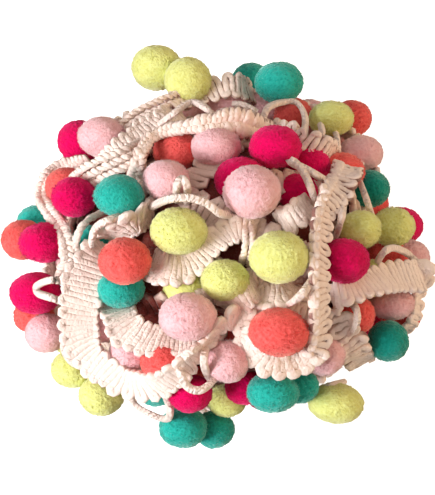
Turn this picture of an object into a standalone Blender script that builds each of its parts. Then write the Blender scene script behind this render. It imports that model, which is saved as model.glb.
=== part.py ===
# A loose ball of pompom trim, wound by hand from about 5 m of it.
#
# The trim is a cord braid that carries pompoms on short cord loops. It is wound and heaped into
# a ball that rests on a small flat spot. Z is up, the ball's front faces -Y, and the origin is
# the middle of the flat spot. Lengths are in millimetres here, and SCALE brings them to metres.
#
# Places on the near side are laid out on a "board": a plane through the ball's heart, square to
# a line of sight that looks down on the ball. A place is so many board steps across and down,
# and it slides along its own sight line until it reaches the ball's dome, plus its lift.

import math
from collections import namedtuple

import bmesh
import bpy
import numpy as np
from mathutils import Matrix, Vector
from mathutils.bvhtree import BVHTree

SCALE = 0.001

# The board and the ball it looks at.
BOARD_STEP = 0.42
BOARD_MIDDLE = (217.5, 247.5)
EYE_DISTANCE = 277.0
EYE_RAISED = math.radians(60.0)
HEART_HEIGHT = 59.0

# The dome that the pompoms' middles lie on: half-sizes along X and Y, above and below the heart.
DOME_X, DOME_Y, DOME_UP, DOME_DOWN = 75.0, 71.0, 50.0, 64.0
CORE_INSET = 9.8         # how far the wound core's surface lies inside the dome
CORE_DOWN = 64.0         # the core's half-size below the heart, where the table flattens it

# The trim.
POMPOM = 18.6            # diameter of a whole pompom
POMPOM_SQUASH = (1.05, 1.0, 0.93)
ROUNDER = 1.02           # makes up for what the flat faces of a coarse ball cut off
POMPOM_RANGE = (0.92, 1.06)  # the smallest and the largest pompom, as shares of a whole one
POMPOM_PRESSED = 0.86    # how near two pompoms press, as a share of their radii together
BRAID_WIDTH = 12.0
BRAID_THICK = 3.6
SCALLOP_PITCH = 4.2      # from one cord knob to the next along the braid's edge
SCALLOP_DEPTH = 0.9
CORD = 2.6               # diameter of the cord in the loops
CLEAR = 0.3              # gap between neighbouring solids
TUCK = 15.0              # how deep a run's tucked ends dive below the dome

FRONT_BALL = (11, 7)     # segments and rings of a pompom that stands proud of the dome
OTHER_BALL = (9, 6)
LUMPED_BALL = (16, 10)
CORE_BALL = (32, 20)
LUMP_VOXEL = 1.2         # the wound lump is fused at this grain
LUMP_FACES = 8800        # and then thinned to about this many triangles
PINCH_STEP = 60          # a skin that pinches itself is thinned by so many triangles more
LUMP_CLEAR = 0.7         # kept round a pompom's seat, which the thinning moves a little
TABLE_SLAB = 400.0       # a block under the table top that trims what sinks into it
TABLE_SINK = 0.8         # how much the ball's own weight flattens what it rests on

COLOURS = {
    "braid": (0.94, 0.84, 0.77),
    "yellow": (0.83, 0.86, 0.25),
    "teal": (0.01, 0.37, 0.31),
    "pink": (0.90, 0.52, 0.55),
    "magenta": (0.76, 0.0, 0.12),
    "coral": (0.93, 0.10, 0.08),
}

Pompom = namedtuple("Pompom", "node across down wide lift")

# The pompoms on the near side. "wide" is each one's width on the board, in steps, and "lift" is
# how far it stands above the dome, in millimetres. The ones called "deep" lie between the braid's
# turns and are part of the wound lump.
POMPOMS = [Pompom(*row) for row in (
    ("yellow_1", 157, 68, 52, -4), ("yellow_2", 188, 80, 48, 6), ("teal_1", 251, 82, 44, -10),
    ("teal_2", 279, 83, 50, 2), ("deep", 268, 106, 46, -10), ("pink_1", 309, 118, 44, -14),
    ("yellow_3", 331, 119, 46, 2), ("coral_1", 351, 119, 42, -10), ("deep", 293, 117, 42, -18),
    ("pink_2", 360, 154, 46, -2), ("deep", 342, 172, 48, -12), ("magenta_1", 275, 147, 54, 2),
    ("magenta_2", 241, 180, 56, -6), ("pink_3", 252, 192, 60, 5),
    ("magenta_3", 308, 166, 46, -12), ("deep", 297, 194, 44, -14), ("pink_4", 216, 147, 52, -6),
    ("coral_2", 176, 152, 48, -8), ("pink_5", 166, 180, 49, 0), ("teal_3", 119, 196, 52, 4),
    ("magenta_4", 74, 197, 47, 2), ("coral_3", 67, 187, 44, -10), ("magenta_5", 80, 142, 46, -8),
    ("pink_6", 103, 137, 52, 4), ("deep", 37, 222, 40, -14), ("coral_4", 23, 240, 44, -6),
    ("magenta_6", 44, 243, 51, 6), ("magenta_7", 36, 293, 53, 2), ("coral_5", 34, 315, 42, -12),
    ("pink_7", 47, 333, 44, -6), ("yellow_4", 74, 368, 47, -4), ("yellow_5", 102, 395, 47, 0),
    ("coral_6", 125, 261, 55, 6), ("teal_4", 121, 289, 48, -6), ("deep", 92, 243, 44, -12),
    ("yellow_6", 179, 231, 59, 2), ("yellow_7", 225, 280, 50, -2), ("yellow_8", 279, 257, 62, 4),
    ("deep", 186, 288, 48, -14), ("pink_8", 188, 317, 60, 3), ("pink_9", 131, 352, 46, -6),
    ("coral_7", 163, 361, 48, -4), ("coral_8", 279, 332, 63, 2), ("coral_9", 236, 342, 50, -8),
    ("pink_10", 227, 361, 46, -2), ("deep", 196, 373, 42, -14), ("magenta_8", 190, 393, 46, -4),
    ("yellow_9", 227, 400, 44, -11), ("deep", 245, 387, 44, -7), ("deep", 335, 141, 42, -24),
    ("deep", 208, 193, 42, -16), ("teal_5", 273, 392, 54, -2), ("teal_6", 299, 386, 42, -8),
    ("teal_7", 183, 427, 50, 0), ("teal_8", 214, 429, 44, -8), ("yellow_10", 336, 403, 56, 0),
    ("yellow_11", 360, 230, 44, -4), ("yellow_12", 393, 227, 44, 0),
    ("magenta_9", 400, 226, 46, -14), ("pink_11", 407, 257, 46, -8),
    ("magenta_10", 344, 261, 52, 2), ("pink_12", 391, 303, 48, -2), ("deep", 400, 315, 42, -14),
    ("teal_9", 388, 341, 42, 2), ("coral_10", 353, 315, 44, -12), ("teal_10", 369, 189, 44, -8),
    ("yellow_13", 367, 278, 44, -13), ("deep", 104, 322, 44, -12), ("pink_13", 323, 355, 46, -8),
    ("deep", 386, 257, 46, -12),
)]

Spot = namedtuple("Spot", "across down lift roll")

# The turns of braid on the near side, along their middle lines. "lift" is measured as for the
# pompoms, and "roll" is how far the braid's face turns away from the eye, in degrees.
TURNS = {
    "top_turn": [Spot(*row) for row in (
        (108, 148, -14, 40), (121, 132, 0, 40), (145, 115, 3, 40), (170, 104, 3, 40),
        (198, 96, 3, 38), (222, 87, 4, 30), (241, 86, 1, 30), (252, 94, -14, 30))],
    "second_turn": [Spot(*row) for row in (
        (136, 178, -14, 50), (138, 164, 3, 58), (142, 150, 5, 62), (151, 138, 5, 62),
        (167, 130, 5, 60), (191, 126, 6, 58), (215, 123, 6, 42), (238, 122, 4, 12),
        (254, 127, -4, 20), (266, 134, -16, 30))],
    "side_rise": [Spot(*row) for row in (
        (74, 190, -14, 20), (87, 177, 2, 34), (105, 167, 4, 38), (121, 160, 3, 42),
        (134, 153, 0, 46), (147, 146, -14, 46))],
    "mid_rise": [Spot(*row) for row in (
        (106, 166, -14, 20), (118, 153, -2, 20), (134, 140, -3, 25), (150, 128, -4, 25),
        (166, 119, -5, 25), (182, 113, -16, 20))],
    "left_turn": [Spot(*row) for row in (
        (88, 162, -18, 60), (62, 166, 0, 70), (46, 179, 2, 75), (41, 196, 2, 75),
        (49, 211, 2, 75), (58, 223, 2, 75), (66, 241, 2, 75), (68, 262, 0, 75),
        (62, 280, -16, 75))],
    "inner_turn": [Spot(*row) for row in (
        (154, 206, -12, 50), (138, 221, 0, 50), (118, 232, -3, 55), (104, 240, -16, 60))],
    "inner_edge": [Spot(*row) for row in (
        (104, 211, -12, 60), (86, 222, 2, 70), (76, 240, 3, 70), (79, 260, -14, 60))],
    "big_curl": [Spot(*row) for row in (
        (112, 246, -16, 0), (97, 257, -2, 0), (86, 275, 2, 0), (81, 297, 4, 0), (79, 318, 4, 0),
        (81, 338, 4, -10), (90, 356, 4, -22), (106, 370, 4, -25), (124, 382, 4, -28),
        (145, 386, 4, -30), (165, 381, 5, -40), (182, 369, 5, -50), (195, 355, 3, -62),
        (206, 342, 1, -68), (218, 328, 0, -60), (232, 318, -2, -45), (247, 312, -16, -40))],
    "under_pink": [Spot(*row) for row in (
        (114, 300, -16, 20), (121, 318, -3, 10), (130, 332, -1, 0), (150, 340, -2, 10),
        (178, 345, -5, 35), (202, 342, -4, 60), (216, 332, -16, 65))],
    "middle_turn": [Spot(*row) for row in (
        (144, 262, -16, 10), (164, 268, -4, 10), (186, 266, -6, 10), (207, 249, -5, 0),
        (226, 233, -3, 0), (246, 228, -4, 0), (262, 238, -16, 20))],
    "chain": [Spot(*row) for row in (
        (246, 222, -12, 70), (249, 234, 1, 75), (248, 250, 2, 75), (244, 266, -12, 75))],
    "right_post": [Spot(*row) for row in (
        (350, 160, -14, 0), (346, 171, 2, 0), (341, 184, 5, 8), (332, 198, 7, 28),
        (324, 213, 7, 42), (320, 233, 7, 52), (319, 260, 8, 55), (319, 290, 8, 55),
        (319, 318, 7, 54), (318, 342, 6, 50), (310, 361, 5, 48), (293, 371, 4, 48),
        (270, 370, 4, 50), (253, 360, 2, 50), (243, 343, -1, 50), (247, 323, -4, 50),
        (261, 308, -7, 48), (284, 300, -16, 45))],
    "leaf": [Spot(*row) for row in (
        (276, 228, -16, 0), (290, 219, -1, 0), (304, 210, 0, 0), (316, 203, -14, 10))],
    "right_turn": [Spot(*row) for row in (
        (324, 300, -14, 0), (338, 294, -2, 10), (356, 287, -1, 20), (376, 281, 1, 25),
        (396, 276, 8, 30), (414, 275, 9, 30), (422, 279, 3, 45), (419, 289, 0, 58),
        (417, 301, -2, 62), (415, 315, -4, 62), (408, 326, -8, 62), (396, 333, -18, 60))],
    "finger_turn": [Spot(*row) for row in (
        (326, 300, -14, 0), (333, 311, -3, 0), (338, 322, -3, 0), (345, 333, -3, 0),
        (353, 343, -4, 0), (358, 354, -6, 0), (358, 366, -20, 0))],
    "knot": [Spot(*row) for row in (
        (270, 128, -16, 20), (284, 131, -6, 20), (296, 137, -2, 5), (306, 141, 1, 0),
        (316, 144, 2, 0), (326, 148, 0, 0), (334, 155, -14, 0))],
    "twisted_end": [Spot(*row) for row in (
        (258, 277, -16, 25), (249, 290, -2, 25), (238, 301, -2, 25), (226, 312, -14, 25))],
    "low_leaf": [Spot(*row) for row in (
        (250, 301, -16, 30), (266, 296, -6, 30), (288, 292, -6, 30), (308, 284, -16, 30))],
}

# The cord loops that show, as places across, down and lift: each runs from the braid, round its
# own top and back.
LOOPS = {
    "loop_top": ((160, 124, -4), (174, 113, 9), (192, 102, 12), (208, 110, 9), (217, 121, -4)),
    "loop_high": ((262, 123, -6), (268, 108, 6), (284, 102, 11), (297, 103, 10), (305, 117, 6),
                  (304, 140, -8)),
    "loop_left": ((74, 283, -8), (52, 280, 11), (37, 286, 14), (38, 293, 14), (52, 298, 11),
                  (70, 305, -8)),
    "loop_low": ((164, 392, -6), (170, 410, 9), (166, 419, 10), (148, 413, 8), (134, 403, 4),
                 (130, 386, -8)),
    "loop_long": ((66, 338, -8), (63, 348, 5), (70, 361, 6), (84, 368, 9), (102, 377, -8)),
    "loop_yellow": ((318, 116, -10), (322, 131, 4), (320, 140, -10)),
    "loop_twin": ((328, 118, -10), (336, 134, 6), (338, 152, -8)),
    "loop_tall": ((316, 206, -8), (312, 191, 5), (305, 175, 7), (296, 163, 7), (289, 160, 7),
                  (294, 164, 6), (306, 169, 6), (318, 176, 6), (332, 184, -8)),
    "loop_small": ((176, 200, -8), (177, 186, 11), (182, 179, 12), (187, 186, 11), (187, 202, -8)),
    "loop_brow": ((148, 209, -8), (166, 200, 11), (188, 198, 13), (206, 203, 11), (222, 214, 6),
                  (240, 214, -10)),
    "loop_side": ((130, 214, -8), (112, 219, 9), (97, 227, 8), (92, 240, 4), (93, 254, -8)),
    "loop_drop": ((344, 192, -8), (343, 206, 6), (341, 220, 7), (336, 236, -8)),
    "loop_fall": ((360, 182, -8), (366, 198, 4), (372, 216, -8)),
    "loop_right": ((376, 264, -8), (384, 252, 8), (394, 248, 9), (408, 255, 6), (421, 269, -8)),
    "loop_hook": ((350, 300, -10), (357, 312, 4), (355, 327, 4), (344, 338, -8)),
    "loop_foot": ((176, 356, -6), (180, 372, 8), (188, 387, 9), (201, 390, 9), (214, 380, 2),
                  (222, 370, -10)),
    "loop_peach": ((318, 268, -6), (308, 286, 9), (298, 298, 10), (286, 306, -6)),
    "loop_last": ((344, 382, -10), (332, 385, 4), (318, 390, -10)),
    "loop_bottom": ((174, 391, -26), (180, 398, -23), (188, 399, -23), (196, 391, -28)),
    "loop_fork_left": ((205, 342, -6), (196, 348, 6), (184, 355, 6), (174, 361, -8)),
    "loop_fork_down": ((208, 342, -6), (204, 356, 6), (205, 368, 6), (211, 380, -8)),
}

# Turns of braid round the far side: each is an arc round the heart, tilted from level.
FarTurn = namedtuple("FarTurn", "tilt toward start sweep swing lift")
FAR_TURNS = {
    "far_turn_1": FarTurn(tilt=-18, toward=100, start=-62, sweep=124, swing=8, lift=4),
    "far_turn_2": FarTurn(tilt=12, toward=94, start=-84, sweep=168, swing=5, lift=4),
    "far_turn_3": FarTurn(tilt=-46, toward=70, start=-60, sweep=110, swing=9, lift=4),
    "far_turn_4": FarTurn(tilt=-40, toward=150, start=-52, sweep=96, swing=-7, lift=4),
    "side_turn_left": FarTurn(tilt=-28, toward=205, start=-48, sweep=88, swing=6, lift=4),
    "side_turn_right": FarTurn(tilt=-30, toward=-28, start=-44, sweep=84, swing=-6, lift=4),
    "near_turn": FarTurn(tilt=-52, toward=-80, start=-58, sweep=116, swing=6, lift=4),
}

# Pompoms that fill the far side, the flanks and the skirt above the table. They are part of the
# wound lump, as the ones on the near side are that lie deep between its turns.
FILL_PLACES = 118        # places tried, evenly spread over the whole dome
FILL_SPACE = 18.0        # no nearer than this to a pompom that is there already
FILL_START = 11.0        # a place as near as this to one that is taken is left out at once
FILL_LIFT = -1.6
FILL_DEPTH = -4.0        # they lie at least this far behind the board
REST_RADIUS = 28.0       # the flat spot's half-size, which no pompom enters
SETTLE_ROUNDS = 60
BARE_SPOTS = ((152, 98), (130, 107), (114, 112), (36, 267))  # bare braid shows at the rim here
BARE_REACH = 19
FAR_SPACING = 4.0
LOOP_SPACING = 2.5
SEAT_REACH = 0.01        # a pompom further out than this share of the dome needs no seat
GIVE_ROUNDS = 60
GIVE_STEP = 0.96         # how much a pressed pompom draws in at a time
FAR_TUCK = 0.14          # share of a far turn's length over which each end dives

# A braid's cross-section as shares of its half-width and half-thickness.
BRAID_SECTION = ((-1, 1), (1, 1), (1, -1), (-1, -1))


# ---- the board and the dome -----------------------------------------------------------------

HEART = np.array([0.0, 0.0, HEART_HEIGHT])
TO_EYE = np.array([0.0, -math.cos(EYE_RAISED), math.sin(EYE_RAISED)])
BOARD_UP = np.array([0.0, math.sin(EYE_RAISED), math.cos(EYE_RAISED)])
BOARD_ACROSS = np.array([1.0, 0.0, 0.0])
EYE = HEART + EYE_DISTANCE * TO_EYE


def on_sight_line(across, down, depth):
    """The point on a board place's sight line that is so far above the board."""
    right = (across - BOARD_MIDDLE[0]) * BOARD_STEP
    up = (BOARD_MIDDLE[1] - down) * BOARD_STEP
    flat = right * BOARD_ACROSS + up * BOARD_UP
    return HEART + flat * (1 - depth / EYE_DISTANCE) + depth * TO_EYE


def board_seen(point):
    """The board place that a point is seen at."""
    depth = (point - HEART) @ TO_EYE
    flat = (point - HEART - depth * TO_EYE) / (1 - depth / EYE_DISTANCE) / BOARD_STEP
    return np.array([BOARD_MIDDLE[0] + flat @ BOARD_ACROSS, BOARD_MIDDLE[1] - flat @ BOARD_UP])


def dome_share(point):
    """Distance from the heart as a share of the dome's: 1 on it, less inside."""
    x, y, z = point - HEART
    tall = DOME_UP if z > 0 else DOME_DOWN
    return math.sqrt((x / DOME_X) ** 2 + (y / DOME_Y) ** 2 + (z / tall) ** 2)


def dome_depth(across, down):
    """Where a sight line first meets the dome, or passes nearest to it."""
    depths = np.linspace(80, -80, 321)
    shares = [dome_share(on_sight_line(across, down, depth)) for depth in depths]
    for depth, share in zip(depths, shares):
        if share <= 1:
            return depth
    return depths[int(np.argmin(shares))]


def board_place(across, down, lift):
    return on_sight_line(across, down, dome_depth(across, down) + lift)


def smooth_line(points, spacing):
    """Points at even spacing on a Catmull-Rom curve through the given ones."""
    points = np.array(points, float)
    padded = np.vstack([2 * points[0] - points[1], points, 2 * points[-1] - points[-2]])
    fine = []
    for before, start, end, after in zip(padded, padded[1:], padded[2:], padded[3:]):
        for t in np.linspace(0, 1, 24, endpoint=False):
            fine.append(0.5 * (2 * start + (end - before) * t
                               + (2 * before - 5 * start + 4 * end - after) * t ** 2
                               + (3 * start - before - 3 * end + after) * t ** 3))
    fine = np.array(fine + [points[-1]])
    along = np.concatenate([[0], np.cumsum(np.linalg.norm(np.diff(fine[:, :3], axis=0), axis=1))])
    count = max(3, int(round(along[-1] / spacing)) + 1)
    at = np.linspace(0, along[-1], count)
    return np.array([np.interp(at, along, fine[:, k]) for k in range(fine.shape[1])]).T


def far_run(turn):
    """An arc round the heart: tilted, swinging up and down, its two ends tucked into the ball."""
    share = np.linspace(0, 1, 60)
    bearing = np.radians(turn.toward + turn.start + turn.sweep * share)
    rise = np.radians(turn.tilt + turn.swing * np.sin(2 * math.pi * share)
                      + turn.swing * 0.5 * np.sin(5 * share))
    tall = np.where(rise > 0, DOME_UP, DOME_DOWN)
    way = np.array([DOME_X * np.cos(rise) * np.cos(bearing),
                    DOME_Y * np.cos(rise) * np.sin(bearing), tall * np.sin(rise)]).T
    reach = np.linalg.norm(way, axis=1)
    tucked = np.clip(np.minimum(share, 1 - share) / FAR_TUCK, 0, 1)
    lift = turn.lift - (turn.lift + TUCK) * (1 - tucked) ** 2
    points = HEART + way * (1 + lift / reach)[:, None]
    points[:, 2] = np.maximum(points[:, 2], BRAID_WIDTH / 2 + 1.0)
    return smooth_line(np.column_stack([points, np.zeros(len(points))]), FAR_SPACING)


# ---- where the pompoms lie ------------------------------------------------------------------

class Ball:
    """One pompom: its node, its middle and its radius, and the sight line it may slide on."""

    def __init__(self, node, middle, radius, row=None, depth=0.0):
        self.node, self.middle, self.radius = node, middle, radius
        self.row, self.depth = row, depth

    def push_back(self, amount):
        self.depth -= amount
        self.middle = on_sight_line(self.row.across, self.row.down, self.depth)


def near_balls():
    """The near pompoms, each slid back along its sight line until none is crushed."""
    balls = []
    for row in POMPOMS:
        depth = dome_depth(row.across, row.down) + row.lift
        middle = on_sight_line(row.across, row.down, depth)
        seen = row.wide * BOARD_STEP * (EYE_DISTANCE - depth) / EYE_DISTANCE
        radius = min(max(seen, POMPOM_RANGE[0] * POMPOM), POMPOM_RANGE[1] * POMPOM) / 2
        balls.append(Ball(row.node, middle, radius, row, depth))
    for _ in range(SETTLE_ROUNDS):
        for i, one in enumerate(balls):
            for other in balls[i + 1:]:
                wanted = POMPOM_PRESSED * (one.radius + other.radius)
                short = wanted - np.linalg.norm(one.middle - other.middle)
                if short > 0:
                    back = one if one.depth < other.depth else other
                    back.push_back(0.5 * short + 0.05)
    return balls


def far_balls(near, runs):
    """The other pompoms: even places over the dome, less those taken, pushed clear of the runs."""
    golden = math.pi * (3 - math.sqrt(5))
    run_points = np.vstack([run[:, :3] for run in runs])
    balls = []
    for k in range(FILL_PLACES):
        height = 1 - 2 * (k + 0.5) / FILL_PLACES
        ring = math.sqrt(1 - height * height)
        tall = DOME_UP if height > 0 else DOME_DOWN
        middle = HEART + np.array([DOME_X * ring * math.cos(golden * k),
                                   DOME_Y * ring * math.sin(golden * k), tall * height])
        radius = POMPOM / 2 * (0.95 + 0.04 * math.sin(2.3 * k))
        balls.append(Ball("", middle, radius))

    def crowded(ball, others, space):
        return any(np.linalg.norm(ball.middle - other.middle) < space for other in others)

    kept = []
    for ball in balls:
        ball.middle[2] = max(ball.middle[2], ball.radius * POMPOM_SQUASH[2] - TABLE_SINK)
        on_table = math.hypot(ball.middle[0], ball.middle[1]) < REST_RADIUS + ball.radius
        if on_table or (ball.middle - HEART) @ TO_EYE > FILL_DEPTH:
            continue
        if not crowded(ball, near + kept, FILL_START):
            kept.append(ball)
    for _ in range(SETTLE_ROUNDS):
        for ball in kept:
            push = np.zeros(3)
            for other in near + kept:
                apart = ball.middle - other.middle
                gap = np.linalg.norm(apart)
                if other is not ball and gap < FILL_SPACE:
                    push += apart / gap * (FILL_SPACE - gap) * 0.5
            apart = ball.middle - run_points
            gaps = np.linalg.norm(apart, axis=1)
            nearest = int(np.argmin(gaps))
            room = ball.radius + BRAID_THICK / 2
            if gaps[nearest] < room:
                push += apart[nearest] / gaps[nearest] * (room - gaps[nearest]) * 0.4
            ball.middle = ball.middle + push
            share = dome_share(ball.middle) * (1 - FILL_LIFT / DOME_Y)
            ball.middle = HEART + (ball.middle - HEART) * (1 + 0.5 * (1 / share - 1))
            ball.middle[2] = max(ball.middle[2], ball.radius * POMPOM_SQUASH[2] - TABLE_SINK)
    settled = []
    for ball in kept:
        bare = min(np.linalg.norm(board_seen(ball.middle) - spot) for spot in BARE_SPOTS)
        if bare > BARE_REACH and not crowded(ball, near + settled, POMPOM_PRESSED * FILL_SPACE):
            settled.append(ball)
    return settled


# ---- lofts, balls and tubes -------------------------------------------------------------------

def add_object(name, mesh, collection):
    thing = bpy.data.objects.new(name, mesh)
    collection.objects.link(thing)
    return thing


def mesh_from(bm, name):
    bmesh.ops.recalc_face_normals(bm, faces=bm.faces)
    bmesh.ops.triangulate(bm, faces=bm.faces)
    mesh = bpy.data.meshes.new(name)
    bm.to_mesh(mesh)
    bm.free()
    return mesh


def outward_sides(points, facing):
    """Unit vectors along a line and across it, square to the way it faces."""
    ahead = np.gradient(points, axis=0)
    ahead /= np.linalg.norm(ahead, axis=1)[:, None]
    outward = facing(points)
    side = np.cross(ahead, outward)
    strength = np.linalg.norm(side, axis=1)
    firm = np.flatnonzero(strength > 0.5)
    for k in np.flatnonzero(strength <= 0.5):
        side[k] = side[firm[np.argmin(abs(firm - k))]]
    side -= ahead * np.sum(side * ahead, axis=1)[:, None]
    side /= np.linalg.norm(side, axis=1)[:, None]
    return ahead, side


def toward_eye(points):
    away = EYE - points
    return away / np.linalg.norm(away, axis=1)[:, None]


def from_heart(points):
    away = points - HEART
    return away / np.linalg.norm(away, axis=1)[:, None]


def loft_braid(name, run, facing, collection):
    """A strip of braid along a run of points and rolls, its edges scalloped by its cord's turns."""
    points, rolls = run[:, :3], np.radians(run[:, 3])
    ahead, side = outward_sides(points, facing)
    front = np.cross(side, ahead)
    across = side * np.cos(rolls)[:, None] + front * np.sin(rolls)[:, None]
    through = np.cross(across, ahead)
    bm = bmesh.new()
    rings = []
    for k, point in enumerate(points):
        half = BRAID_WIDTH / 2 - (SCALLOP_DEPTH if k % 2 else 0.0)
        thick = BRAID_THICK / 2
        ring = [bm.verts.new(point + across[k] * half * u + through[k] * thick * v)
                for u, v in BRAID_SECTION]
        rings.append(ring)
    for ring, following in zip(rings, rings[1:]):
        for k in range(len(ring)):
            after = (k + 1) % len(ring)
            bm.faces.new((ring[k], ring[after], following[after], following[k]))
    bm.faces.new(rings[0])
    bm.faces.new(rings[-1])
    return add_object(name, mesh_from(bm, name), collection)


def tube(name, points, radius, collection):
    """A cord: a poly curve with a round bevel and filled ends, made a closed mesh."""
    curve = bpy.data.curves.new(name, "CURVE")
    curve.dimensions = "3D"
    curve.bevel_depth = radius
    curve.bevel_resolution = 0
    curve.use_fill_caps = True
    spline = curve.splines.new("POLY")
    spline.points.add(len(points) - 1)
    for place, point in zip(spline.points, points):
        place.co = (*point, 1.0)
    rod = add_object(name, curve, cutters)
    bpy.context.view_layer.update()
    mesh = bpy.data.meshes.new_from_object(rod.evaluated_get(bpy.context.evaluated_depsgraph_get()))
    bpy.data.objects.remove(rod)
    bm = bmesh.new()
    bm.from_mesh(mesh)
    bmesh.ops.remove_doubles(bm, verts=bm.verts, dist=0.001)
    return add_object(name, mesh_from(bm, name), collection)


def pompom_mesh(name, ball, others, detail, collection, grow=0.0):
    """A pompom, drawn in where it presses on each of its neighbours."""
    bm = bmesh.new()
    bmesh.ops.create_uvsphere(bm, u_segments=detail[0], v_segments=detail[1],
                              radius=ball.radius * ROUNDER + grow)
    bmesh.ops.scale(bm, vec=POMPOM_SQUASH, verts=bm.verts)
    for other in others:
        apart = other.middle - ball.middle
        gap = np.linalg.norm(apart)
        pressed = (gap ** 2 + ball.radius ** 2 - other.radius ** 2) / (2 * gap) - CLEAR / 2
        for vertex in bm.verts:
            reach = vertex.co.dot(Vector(apart / gap))
            if reach > pressed:
                vertex.co *= pressed / reach
    bmesh.ops.translate(bm, vec=ball.middle, verts=bm.verts)
    return add_object(name, mesh_from(bm, name), collection)


def skin_tree(mesh, middle=Vector(), swell=1.0):
    """A mesh's triangles for crossing tests, swollen about a middle."""
    spots = [middle + (vertex.co - middle) * swell for vertex in mesh.vertices]
    return BVHTree.FromPolygons(spots, [tuple(face.vertices) for face in mesh.polygons])


def give_way(thing, ball, lump):
    """Draws a pompom's skin in towards its middle wherever the lump presses on it."""
    middle = Vector(ball.middle)
    swell = 1 + (CLEAR + 0.1) / ball.radius
    for _ in range(GIVE_ROUNDS):
        met = {face for face, _ in skin_tree(thing.data, middle, swell).overlap(lump)}
        if not met:
            break
        pressed = {corner for face in met for corner in thing.data.polygons[face].vertices}
        for corner in pressed:
            vertex = thing.data.vertices[corner]
            vertex.co = middle + (vertex.co - middle) * GIVE_STEP


def neighbours(ball, balls):
    """The other pompoms near enough to press on this one."""
    reach = [(other, np.linalg.norm(other.middle - ball.middle)) for other in balls]
    return [other for other, gap in reach
            if 0 < gap < (other.radius + ball.radius) * POMPOM_SQUASH[0] * ROUNDER + CLEAR]


def apply_modifiers(thing):
    bpy.context.view_layer.update()
    mesh = bpy.data.meshes.new_from_object(
        thing.evaluated_get(bpy.context.evaluated_depsgraph_get()))
    thing.modifiers.clear()
    thing.data = mesh


def cut_away(thing, cutter):
    step = thing.modifiers.new("step", "BOOLEAN")
    step.operation = "DIFFERENCE"
    step.solver = "EXACT"
    step.object = cutter
    apply_modifiers(thing)


def fuse(thing, pieces):
    """Fuses overlapping closed pieces into one skin, thinned to about LUMP_FACES triangles."""
    bm = bmesh.new()
    bm.from_mesh(thing.data)
    for piece in pieces.objects:
        bm.from_mesh(piece.data)
    bm.to_mesh(thing.data)
    bm.free()
    skin = thing.modifiers.new("skin", "REMESH")
    skin.mode = "VOXEL"
    skin.voxel_size = LUMP_VOXEL
    apply_modifiers(thing)
    dense = thing.data
    for count in range(LUMP_FACES, LUMP_FACES // 2, -PINCH_STEP):
        thing.data = dense.copy()
        thin = thing.modifiers.new("thin", "DECIMATE")
        thin.ratio = count / (2 * len(dense.polygons))
        thin.use_collapse_triangulate = True
        apply_modifiers(thing)
        if not pinched(thing.data):
            return


def pinched(mesh):
    """Whether the skin touches itself along an edge, so that four faces meet there."""
    corners = np.zeros(len(mesh.polygons) * 3, int)
    mesh.loops.foreach_get("vertex_index", corners)
    corners = corners.reshape(-1, 3)
    edges = np.sort(np.vstack([corners, np.roll(corners, 1, axis=1)]).reshape(2, -1).T, axis=1)
    return np.unique(edges, axis=0, return_counts=True)[1].max() > 2


def keep_largest(thing):
    """Drops the crumbs that the fusing leaves beside the main body."""
    bm = bmesh.new()
    bm.from_mesh(thing.data)
    unseen = set(bm.verts)
    islands = []
    while unseen:
        edge = [unseen.pop()]
        island = list(edge)
        while edge:
            vertex = edge.pop()
            for link in vertex.link_edges:
                other = link.other_vert(vertex)
                if other in unseen:
                    unseen.remove(other)
                    edge.append(other)
                    island.append(other)
        islands.append(island)
    islands.sort(key=len)
    for island in islands[:-1]:
        bmesh.ops.delete(bm, geom=island, context="VERTS")
    bm.to_mesh(thing.data)
    bm.free()


def paint(thing, colour):
    yarn = bpy.data.materials.new(thing.name)
    yarn.use_nodes = True
    yarn.diffuse_color = (*COLOURS[colour], 1.0)
    shader = yarn.node_tree.nodes["Principled BSDF"]
    shader.inputs["Base Color"].default_value = yarn.diffuse_color
    shader.inputs["Roughness"].default_value = 0.9
    shader.inputs["Metallic"].default_value = 0.0
    thing.data.materials.clear()
    thing.data.materials.append(yarn)


# ---- the build ----------------------------------------------------------------------------------

for thing in list(bpy.data.objects):
    bpy.data.objects.remove(thing)
parts = bpy.data.collections.new("pompom_trim_ball")
cutters = bpy.data.collections.new("cutters")
bpy.context.scene.collection.children.link(parts)
bpy.context.scene.collection.children.link(cutters)

near_runs = {}
for name, spots in TURNS.items():
    placed = [(*board_place(spot.across, spot.down, spot.lift), spot.roll) for spot in spots]
    near_runs[name] = smooth_line(placed, SCALLOP_PITCH / 2)
far_runs = {name: far_run(turn) for name, turn in FAR_TURNS.items()}
loop_lines = {name: smooth_line([board_place(*tie) for tie in ties], LOOP_SPACING)
              for name, ties in LOOPS.items()}

near = near_balls()
loose = [ball for ball in near if ball.node != "deep"]
lumped = [ball for ball in near if ball.node == "deep"]
lumped += far_balls(near, list(near_runs.values()) + list(far_runs.values()))

# The wound lump: its core, seated under the loose pompoms, and all that is part of it.
bm = bmesh.new()
bmesh.ops.create_uvsphere(bm, u_segments=CORE_BALL[0], v_segments=CORE_BALL[1], radius=1.0)
for vertex in bm.verts:
    down = CORE_DOWN if vertex.co.z < 0 else DOME_UP - CORE_INSET
    vertex.co = HEART + np.array(vertex.co) * (DOME_X - CORE_INSET, DOME_Y - CORE_INSET, down)
    vertex.co.z = max(vertex.co.z, -TABLE_SINK)
braid = add_object("braid", mesh_from(bm, "braid"), parts)

for ball in loose:
    if dome_share(ball.middle) < 1 + SEAT_REACH:
        seat = pompom_mesh("seat", ball, [], LUMPED_BALL, cutters, grow=LUMP_CLEAR)
        cut_away(braid, seat)

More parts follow.
